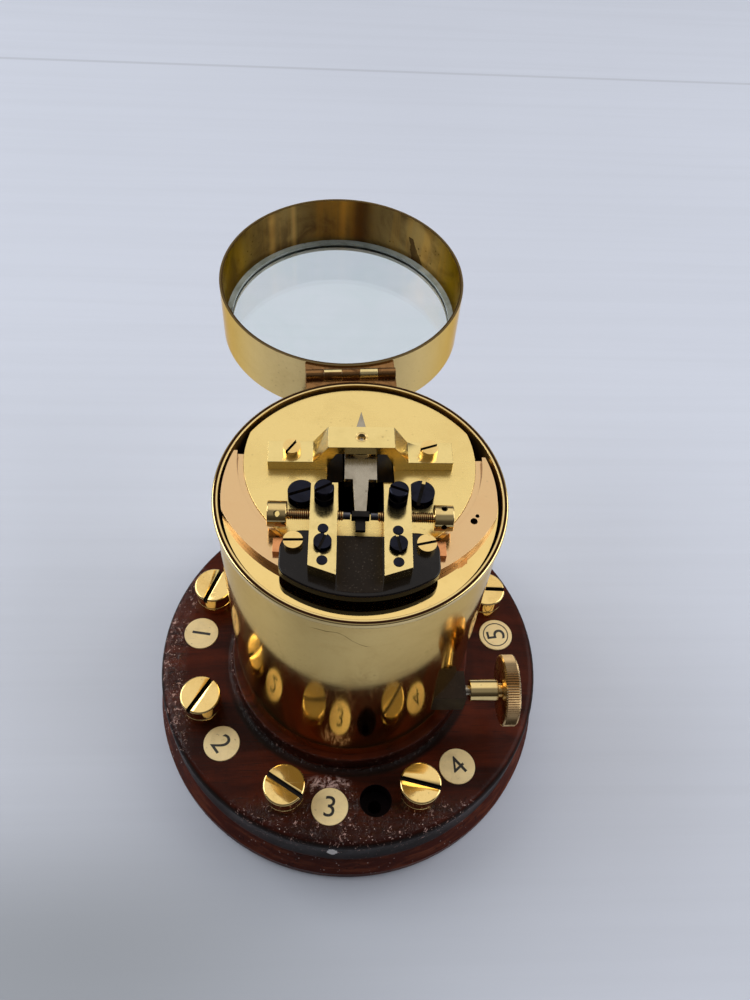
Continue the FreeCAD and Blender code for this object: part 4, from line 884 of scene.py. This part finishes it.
class MakeLabels(bpy.types.Operator):
    """Make the ivory discs with their filled numbers"""
    bl_idname = "relay.make_labels"
    bl_label = "Numbered discs"

    def execute(self, context):
        rounded_node("label_discs", "ivory", DISC_CORNER)
        top = box_size("label_discs")[1].z
        centres = self.centres()
        for number, centre in zip(TERMINALS, centres):
            self.numeral(number, centre, top, context.scene.relay_detail.numeral_height)
        self.ring(centres[RINGED_DISC - 1], top)
        return {"FINISHED"}

    def centres(self):
        """Centres of the discs, in the order of the terminals."""
        work = joined_copy("label_discs")
        work.normal_update()
        found = [flat_middle([vert.co for vert in face.verts])
                 for face in work.faces if face.normal.z > 0.9]
        work.free()
        terminals = [flat_middle(box_size("terminal_screw_%d" % number)) for number in TERMINALS]
        return [min(found, key=lambda centre: (centre - place).length) for place in terminals]

    def numeral(self, number, centre, top, height):
        """A thin solid number that is read from outside the base."""
        curve = bpy.data.curves.new("numeral", "FONT")
        curve.body = str(number)
        curve.align_x = "CENTER"
        curve.align_y = "CENTER"
        curve.size = height * TYPE_SIZE
        curve.extrude = INK_DEPTH
        curve.resolution_u = 6
        shape = bpy.data.objects.new("numeral", curve)
        mesh = bpy.data.meshes.new_from_object(shape)
        bpy.data.objects.remove(shape)
        bpy.data.curves.remove(curve)
        work = bmesh.new()
        work.from_mesh(mesh)
        bpy.data.meshes.remove(mesh)
        bmesh.ops.remove_doubles(work, verts=work.verts, dist=MERGE)
        middle = flat_middle([vert.co for vert in work.verts])
        inward = math.atan2(-centre.y, -centre.x) - math.pi / 2
        matrix = (Matrix.Translation((centre.x, centre.y, top)) @ Matrix.Rotation(inward, 4, "Z")
                  @ Matrix.Translation(-middle))
        bmesh.ops.transform(work, matrix=matrix, verts=work.verts)
        bmesh.ops.recalc_face_normals(work, faces=work.faces)
        own(new_piece("numeral_%d" % number, work), "label_discs", ["ink"], False)

    def ring(self, centre, top):
        inner, outer = DISC_RING_R
        low, high = top - INK_DEPTH, top + INK_PROUD
        profile = [(inner, low), (outer, low), (outer, high), (inner, high), (inner, low)]
        own(new_piece("disc_ring", lathe(profile, centre, 72)), "label_discs", ["ink"], False)


class MakeTerminals(bpy.types.Operator):
    """Finish the slotted terminal screws, their bushes and nuts"""
    bl_idname = "relay.make_terminals"
    bl_label = "Terminals"

    def execute(self, context):
        for number in TERMINALS:
            rounded_node("terminal_screw_%d" % number, "head", TERMINAL_CORNER, TERMINAL_SLOT)
        rounded_node("terminal_bushes", "head", TERMINAL_CORNER)
        rounded_node("terminal_nuts", "brass", TERMINAL_CORNER)
        return {"FINISHED"}


class DressCase(bpy.types.Operator):
    """Finish the drum case and what stands inside it on the frame plate"""
    bl_idname = "relay.dress_case"
    bl_label = "Case and frame"

    def execute(self, context):
        dress("case", "case")
        self.lip(context.scene.relay_detail)
        return round_nodes(context, (
            ("spindle_guide", "guide", 2), ("frame_plate", "plate", 1),
            ("frame_screws", "brass", 1, 0.002), ("pillars", "plate", 1),
            ("pillar_screws", "steel", 1, 0.002)))

    def lip(self, detail):
        """The rolled rim, its outer edges rounded."""
        proud = 0.00002
        low, high = box_size("case")
        outer = (high.x - low.x) / 2 + proud
        inner = outer - detail.lip_width
        top, foot = high.z + proud, high.z - detail.lip_height - proud
        bend, small = detail.lip_round, 0.00015
        profile = [(inner, foot)]
        profile += arc(outer - bend, foot + bend, bend, -90, 0)
        profile += arc(outer - bend, top - bend, bend, 0, 90)
        profile += arc(inner + small, top - small, small, 90, 180)
        profile.append((inner, foot))
        own(new_piece("case_lip", lathe(profile, Vector(), 160)), "case", ["rim"], False)


class DressPlates(bpy.types.Operator):
    """Finish the deck plate, the main plate and its two large screws"""
    bl_idname = "relay.dress_plates"
    bl_label = "Deck and main plate"

    def execute(self, context):
        return round_nodes(context, (("deck_plate", "deck", 1), ("main_plate", "plate", 0.8),
                                     ("main_plate_screws", "blued", 1.4, 0.0025)))


class DressBridge(bpy.types.Operator):
    """Finish the bridge, its screws and the axle's bearings"""
    bl_idname = "relay.dress_bridge"
    bl_label = "Bridge"

    def execute(self, context):
        return round_nodes(context, (("bridge", "bridge", 1.2, 0.002),
                                     ("bridge_screws", "head", 1.2, 0.002),
                                     ("axle_bearings", "brass", 0.4)))


class DressMagnet(bpy.types.Operator):
    """Finish the coils, poles and the permanent magnet"""
    bl_idname = "relay.dress_magnet"
    bl_label = "Electromagnet"

    def execute(self, context):
        dress("coil_cores", "soft iron")
        dress("coil_windings", "silk")
        return round_nodes(context, (
            ("upper_poles", "iron", 1.2), ("lower_poles", "iron", 1.2), ("coil_bobbins", "ebonite", 1),
            ("permanent_magnet", "magnet", 2), ("magnet_foot", "plate", 1), ("magnet_shoes", "iron", 1)))


class DressArmature(bpy.types.Operator):
    """Finish the axle, the armatures, the tongue and its contact"""
    bl_idname = "relay.dress_armature"
    bl_label = "Armature and tongue"

    def execute(self, context):
        dress("armature_axle", "steel")
        return round_nodes(context, (
            ("upper_armature", "soft iron", 1), ("lower_armature", "soft iron", 1),
            ("tongue", "steel", 0.7), ("tongue_hub", "brass", 0.7), ("tongue_contact", "iron", 1)))


class DressCarriage(bpy.types.Operator):
    """Finish the contact carriage with its block, bars and screws"""
    bl_idname = "relay.dress_carriage"
    bl_label = "Contact carriage"

    def execute(self, context):
        corner = context.scene.relay_detail.corner
        self.redden(rounded_node("carriage_plate", "bronze", corner, PLATE_HOLE))
        round_nodes(context, (
            ("carriage_arm", "plate", 1), ("carriage_nut", "brass", 1), ("ebonite_block", "ebonite", 2),
            ("crossbar", "copper", 1.5), ("block_screws", "head", 1, 0.002),
            ("contact_bar_right", "bar", 1, 0.0012), ("contact_bar_left", "bar", 1, 0.0012),
            ("clamp_screws", "blued", 1, 0.0016), ("bar_screws", "blued", 1, 0.0016),
            ("bar_dowels", "blued", 1)))
        self.panel()
        return {"FINISHED"}

    def redden(self, plate):
        """Give the plate's upright faces, apart from those to the back, a darker finish as painted
        shade.
        """
        plate.data.materials.append(finish("wall"))
        for face in plate.data.polygons:
            if face.material_index == 0 and abs(face.normal.z) < 0.35 and face.normal.y < 0.3:
                face.material_index = 2

    def panel(self):
        """The rubbed panel of the block between the two bars, its front edge an arc."""
        gap, proud, thick, chamfer = 0.0003, 0.00012, 0.0004, 0.00006
        back_margin, front_margin = 0.0022, 0.0013
        steps = 8
        low, high = square_box("ebonite_block")
        half = square_box("contact_bar_right")[0].x - gap
        top, back = high.z + proud, high.y - back_margin
        front_reach = -low.y - front_margin
        end = math.asin(half / front_reach)
        spots = [(half, back), (-half, back)]
        for k in range(steps + 1):
            angle = -end + 2 * end * k / steps
            spots.append((front_reach * math.sin(angle), -front_reach * math.cos(angle)))
        work = bmesh.new()
        sheet = work.faces.new([work.verts.new((x, y, top)) for x, y in spots])
        grown = bmesh.ops.extrude_face_region(work, geom=[sheet])
        lower = [item for item in grown["geom"] if isinstance(item, bmesh.types.BMVert)]
        bmesh.ops.translate(work, vec=(0.0, 0.0, -thick), verts=lower)
        bmesh.ops.transform(work, matrix=SET_OVER, verts=work.verts)
        bmesh.ops.recalc_face_normals(work, faces=work.faces)
        rim = [edge for edge in work.edges if edge.calc_face_angle(0.0) > 0.5]
        bmesh.ops.bevel(work, geom=rim, offset=chamfer, offset_type="OFFSET", segments=2,
                        profile=0.5, affect="EDGES", material=-1)
        own(new_piece("block_panel", work), "ebonite_block", ["panel"], False)


class MakeContactScrews(bpy.types.Operator):
    """Turn the threaded contact screws with their capstan heads"""
    bl_idname = "relay.make_contact_screws"
    bl_label = "Contact screws"

    def execute(self, context):
        detail = context.scene.relay_detail
        for side, name in ((1, "contact_screw_right"), (-1, "contact_screw_left")):
            self.screw(detail, name, side)
        return {"FINISHED"}

    def screw(self, detail, name, side):
        """The node's screw with its rod cut down to the thread's core, and the thread."""
        near, sunk, play = 0.00002, 0.00004, 0.00008
        low, high = square_box(name)
        centre = (low + high) / 2
        start = (low.x if side > 0 else -high.x) + detail.tip_length
        end = (high.x if side > 0 else -low.x) - detail.screw_head_length
        work = joined_copy(name)
        mark_crevices(work, HEAD_HOLE)
        for face in work.faces:
            if (SET_BACK @ face.calc_center_median()).x * side < start + near:
                face.material_index = 2
        for vert in work.verts:
            spot = SET_BACK @ vert.co
            arm = Vector((0.0, spot.y - centre.y, spot.z - centre.z))
            if abs(arm.length - detail.thread_radius) < play:
                arm = arm * (detail.thread_core / arm.length)
                vert.co = SET_OVER @ Vector((spot.x, centre.y + arm.y, centre.z + arm.z))
        obj = new_piece(name + "_worked", work)
        soften(obj, CONTACT_SCREW_CORNER)
        own(obj, name, ["brass", "grime", "tip"])
        pitch = detail.thread_pitch
        foot = Vector((min(start * side, end * side) + pitch * 0.5, centre.y, centre.z))
        ridge = helix_ridge(foot, detail.thread_core - sunk, detail.thread_radius, pitch,
                            end - start - pitch)
        bmesh.ops.transform(ridge, matrix=SET_OVER, verts=ridge.verts)
        own(new_piece(name + "_thread", ridge), name, ["thread"], False)


class MakeAdjuster(bpy.types.Operator):
    """Make the knurled knob, the sleeve and the threaded spindle"""
    bl_idname = "relay.make_adjuster"
    bl_label = "Adjusting knob"

    def execute(self, context):
        round_nodes(context, (("adjusting_spindle", "steel", 1), ("spindle_bracket", "plate", 1),
                              ("spindle_sleeve", "brass", 1.5)))
        self.knob(context.scene.relay_detail)
        return {"FINISHED"}

    def knob(self, detail):
        """A ring drawn out along the knob, every other of its points cut in on the rim."""
        low, high = box_size("adjusting_knob")
        radius = (high.z - low.z) / 2
        centre = Vector((0.0, (low.y + high.y) / 2, (low.z + high.z) / 2))
        rim_length, neck, bore = 0.0056, 0.0028, 0.0019
        start, end = high.x - rim_length, high.x
        count = detail.knob_teeth * 2
        work = bmesh.new()
        ring = bmesh.ops.create_circle(work, cap_ends=False, segments=count, radius=1.0)["verts"]
        edges = list(work.edges)
        # how far along, radius, share of the teeth's depth
        stations = [(low.x, neck, 0.0), (start - 0.00005, neck, 0.0), (start, radius - 0.0010, 0.0),
                    (start + 0.00012, radius - 0.00055, 0.4), (start + 0.0006, radius, 1.0),
                    (end - 0.0008, radius, 1.0), (end - 0.00012, radius - 0.0006, 0.4),
                    (end, radius - 0.0011, 0.0), (end, bore, 0.0), (low.x, bore, 0.0)]
        for index, (along, reach, toothed) in enumerate(stations):
            if index:
                grown = bmesh.ops.extrude_edge_only(work, edges=edges)["geom"]
                ring = [item for item in grown if isinstance(item, bmesh.types.BMVert)]
                edges = [item for item in grown if isinstance(item, bmesh.types.BMEdge)]
            for vert in ring:
                flat = Vector((vert.co.x, vert.co.y, 0.0)).normalized()
                number = round(math.atan2(flat.y, flat.x) / (2 * math.pi) * count)
                cut = detail.tooth_depth * toothed if number % 2 else 0.0
                vert.co = Vector((flat.x * (reach - cut), flat.y * (reach - cut), along))
        bmesh.ops.bridge_loops(work, edges=[edge for edge in work.edges if edge.is_boundary])
        turn = Matrix.Translation(centre) @ Matrix.Rotation(math.pi / 2, 4, "Y")
        bmesh.ops.transform(work, matrix=turn, verts=work.verts)
        bmesh.ops.recalc_face_normals(work, faces=work.faces)
        for face in work.faces:
            away = face.calc_center_median() - centre
            if Vector((0.0, away.y, away.z)).length < neck + 0.0004:
                face.material_index = 1
        own(new_piece("adjusting_knob_knurled", work), "adjusting_knob", ["knob", "brass"])


class DressLid(bpy.types.Operator):
    """Finish the lid, its glass and the hinge"""
    bl_idname = "relay.dress_lid"
    bl_label = "Lid and hinge"

    def execute(self, context):
        detail = context.scene.relay_detail
        for node, finish_name in (("lid_shell", "lid"), ("lid_glass", "glass"),
                                  ("glass_ring", "putty"), ("hinge_pin", "steel")):
            dress(node, finish_name)
        round_nodes(context, [("hinge_leaf_case", "tarnish", 0.8)])
        self.lid_leaf(detail.corner * 0.8, detail.knuckle_radius)
        return {"FINISHED"}

    def lid_leaf(self, corner, radius):
        """The lid's leaf, its knuckles rubbed bright."""
        low, high = box_size("hinge_pin")
        axis = (low + high) / 2
        work = joined_copy("hinge_leaf_lid")
        for face in work.faces:
            spot = face.calc_center_median()
            if math.hypot(spot.y - axis.y, spot.z - axis.z) < radius + 0.0001:
                face.material_index = 1
        obj = new_piece("hinge_leaf_lid_worked", work)
        soften(obj, corner)
        own(obj, "hinge_leaf_lid", ["tarnish", "knuckle"])


class SetStage(bpy.types.Operator):
    """Lay the pale board and set the lamps and the camera"""
    bl_idname = "relay.set_stage"
    bl_label = "Stage"

    def execute(self, context):
        look = context.scene.relay_stage
        self.floor(look)
        self.light(context, look)
        self.camera(context, look)
        context.scene.view_settings.view_transform = "Standard"
        return {"FINISHED"}

    def floor(self, look):
        """A pale board with faint lines, a painted shadow near the front left and one joint."""
        skin = Skin("pale board")
        across, along = skin.parts(skin.place)[:2]
        lines = skin.noise(skin.place, (3.0, 120.0, 1.0), 4.0, 0.6, 0.3, (0.0, 0.0, 0.03))
        shade = [value * 0.90 for value in look.floor]
        tone = skin.blend(lines.span(0.35, 0.75, 0.0, 0.35), look.floor, shade)
        clouds = skin.noise(skin.place, 3.0, 3.0, 0.5)
        tone = skin.blend(clouds.span(0.3, 0.75, 0.0, 0.35), tone, shade)
        # painted shadow: a soft darker area near the front left
        near = along.fall(-0.110, -0.035, 0.80) * across.fall(-0.11, 0.14)
        tone = skin.blend(near, tone, (0.28, 0.30, 0.33))
        tone = skin.blend(abs(along - SEAM_ALONG).fall(0.0006, 0.0022, 0.28), tone, (0.30, 0.31, 0.34))
        material = skin.wear({"Base Color": tone, "Roughness": 0.55,
                              "Normal": skin.bump(lines, 0.08, 0.0004)})
        work = bmesh.new()
        bmesh.ops.create_grid(work, x_segments=2, y_segments=2, size=2.5)
        obj = new_piece("board", work)
        obj.data.materials.append(material)

    def light(self, context, look):
        """A dim room with a bright ceiling behind the instrument, and two soft lamps."""
        world = bpy.data.worlds.new("room")
        context.scene.world = world
        world.use_nodes = True
        world.node_tree.nodes.clear()
        web = Web(world.node_tree)
        way = web.wires("ShaderNodeTexCoord")["Generated"]
        depth, rise = web.parts(way)[1:]
        facing = web.vector("DOT_PRODUCT", way, CEILING_WAY)
        tone = web.blend(rise.span(0.05, 0.60), (0.080, 0.072, 0.068), (0.26, 0.26, 0.28))
        front = depth.fall(-0.45, 0.35, 0.85) * rise.fall(0.50, 0.85)
        tone = web.blend(front, tone, (0.030, 0.026, 0.024))
        tone = web.blend(facing.span(0.74, 0.95), tone, (1.0, 0.98, 0.95))
        back = web.put("ShaderNodeBackground", {"Color": tone, "Strength": look.sky})
        web.end("ShaderNodeOutputWorld", back)
        power = look.lamp_power
        self.lamp(context, "window", (1.10, 0.20, 0.95), (1.3, 1.1), power * 1.15, (0.98, 0.99, 1.0))
        self.lamp(context, "fill", (-1.00, 0.40, 1.00), (1.0, 0.9), power * 1.1, (0.97, 0.99, 1.0))

    def lamp(self, context, name, place, size, power, tint):
        lamp = bpy.data.lights.new(name, "AREA")
        lamp.shape = "RECTANGLE"
        lamp.size, lamp.size_y = size
        lamp.energy = power
        lamp.color = tint
        obj = bpy.data.objects.new(name, lamp)
        obj.location = place
        aim = LAMP_AIM - Vector(place)
        obj.rotation_euler = aim.to_track_quat("-Z", "Y").to_euler()
        context.scene.collection.objects.link(obj)

    def camera(self, context, look):
        """A camera in front and above, rolled a little to the side."""
        forward = CAMERA_LOOK.normalized()
        rise = CAMERA_LEVEL.cross(forward).normalized()
        level = forward.cross(rise).normalized()
        right = level * math.cos(CAMERA_ROLL) + rise * math.sin(CAMERA_ROLL)
        upward = rise * math.cos(CAMERA_ROLL) - level * math.sin(CAMERA_ROLL)
        camera = bpy.data.cameras.new("camera")
        camera.lens = look.lens
        camera.sensor_width = 36.0
        camera.sensor_fit = "AUTO"
        camera.clip_start = 0.01
        obj = bpy.data.objects.new("camera", camera)
        turn = Matrix((right, upward, -forward)).transposed().to_4x4()
        obj.matrix_world = Matrix.Translation(CAMERA_PLACE) @ turn
        context.scene.collection.objects.link(obj)
        context.scene.camera = obj


class RelayPanel(bpy.types.Panel):
    bl_idname = "VIEW3D_PT_relay"
    bl_label = "Polarised relay"
    bl_space_type = "VIEW_3D"
    bl_region_type = "UI"
    bl_category = "Relay"

    def draw(self, context):
        for step in STEPS:
            self.layout.operator(step.bl_idname)
        for name in SETTINGS:
            settings = getattr(context.scene, name)
            column = self.layout.column()
            for label in settings.__annotations__:
                column.prop(settings, label)


STEPS = (DressBase, MakeLabels, MakeTerminals, DressCase, DressPlates, DressBridge, DressMagnet,
         DressArmature, DressCarriage, MakeContactScrews, MakeAdjuster, DressLid, SetStage)
SETTINGS = {"relay_look": RelayLook, "relay_detail": RelayDetail, "relay_stage": RelayStage}


def register():
    for name, group in SETTINGS.items():
        bpy.utils.register_class(group)
        setattr(bpy.types.Scene, name, PointerProperty(type=group))
    for step in STEPS:
        bpy.utils.register_class(step)
    bpy.utils.register_class(RelayPanel)


def unregister():
    bpy.utils.unregister_class(RelayPanel)
    for step in reversed(STEPS):
        bpy.utils.unregister_class(step)
    for name, group in reversed(SETTINGS.items()):
        delattr(bpy.types.Scene, name)
        bpy.utils.unregister_class(group)


def main():
    register()
    for step in STEPS:
        space, name = step.bl_idname.split(".")
        getattr(getattr(bpy.ops, space), name)()


if __name__ == "__main__":
    main()
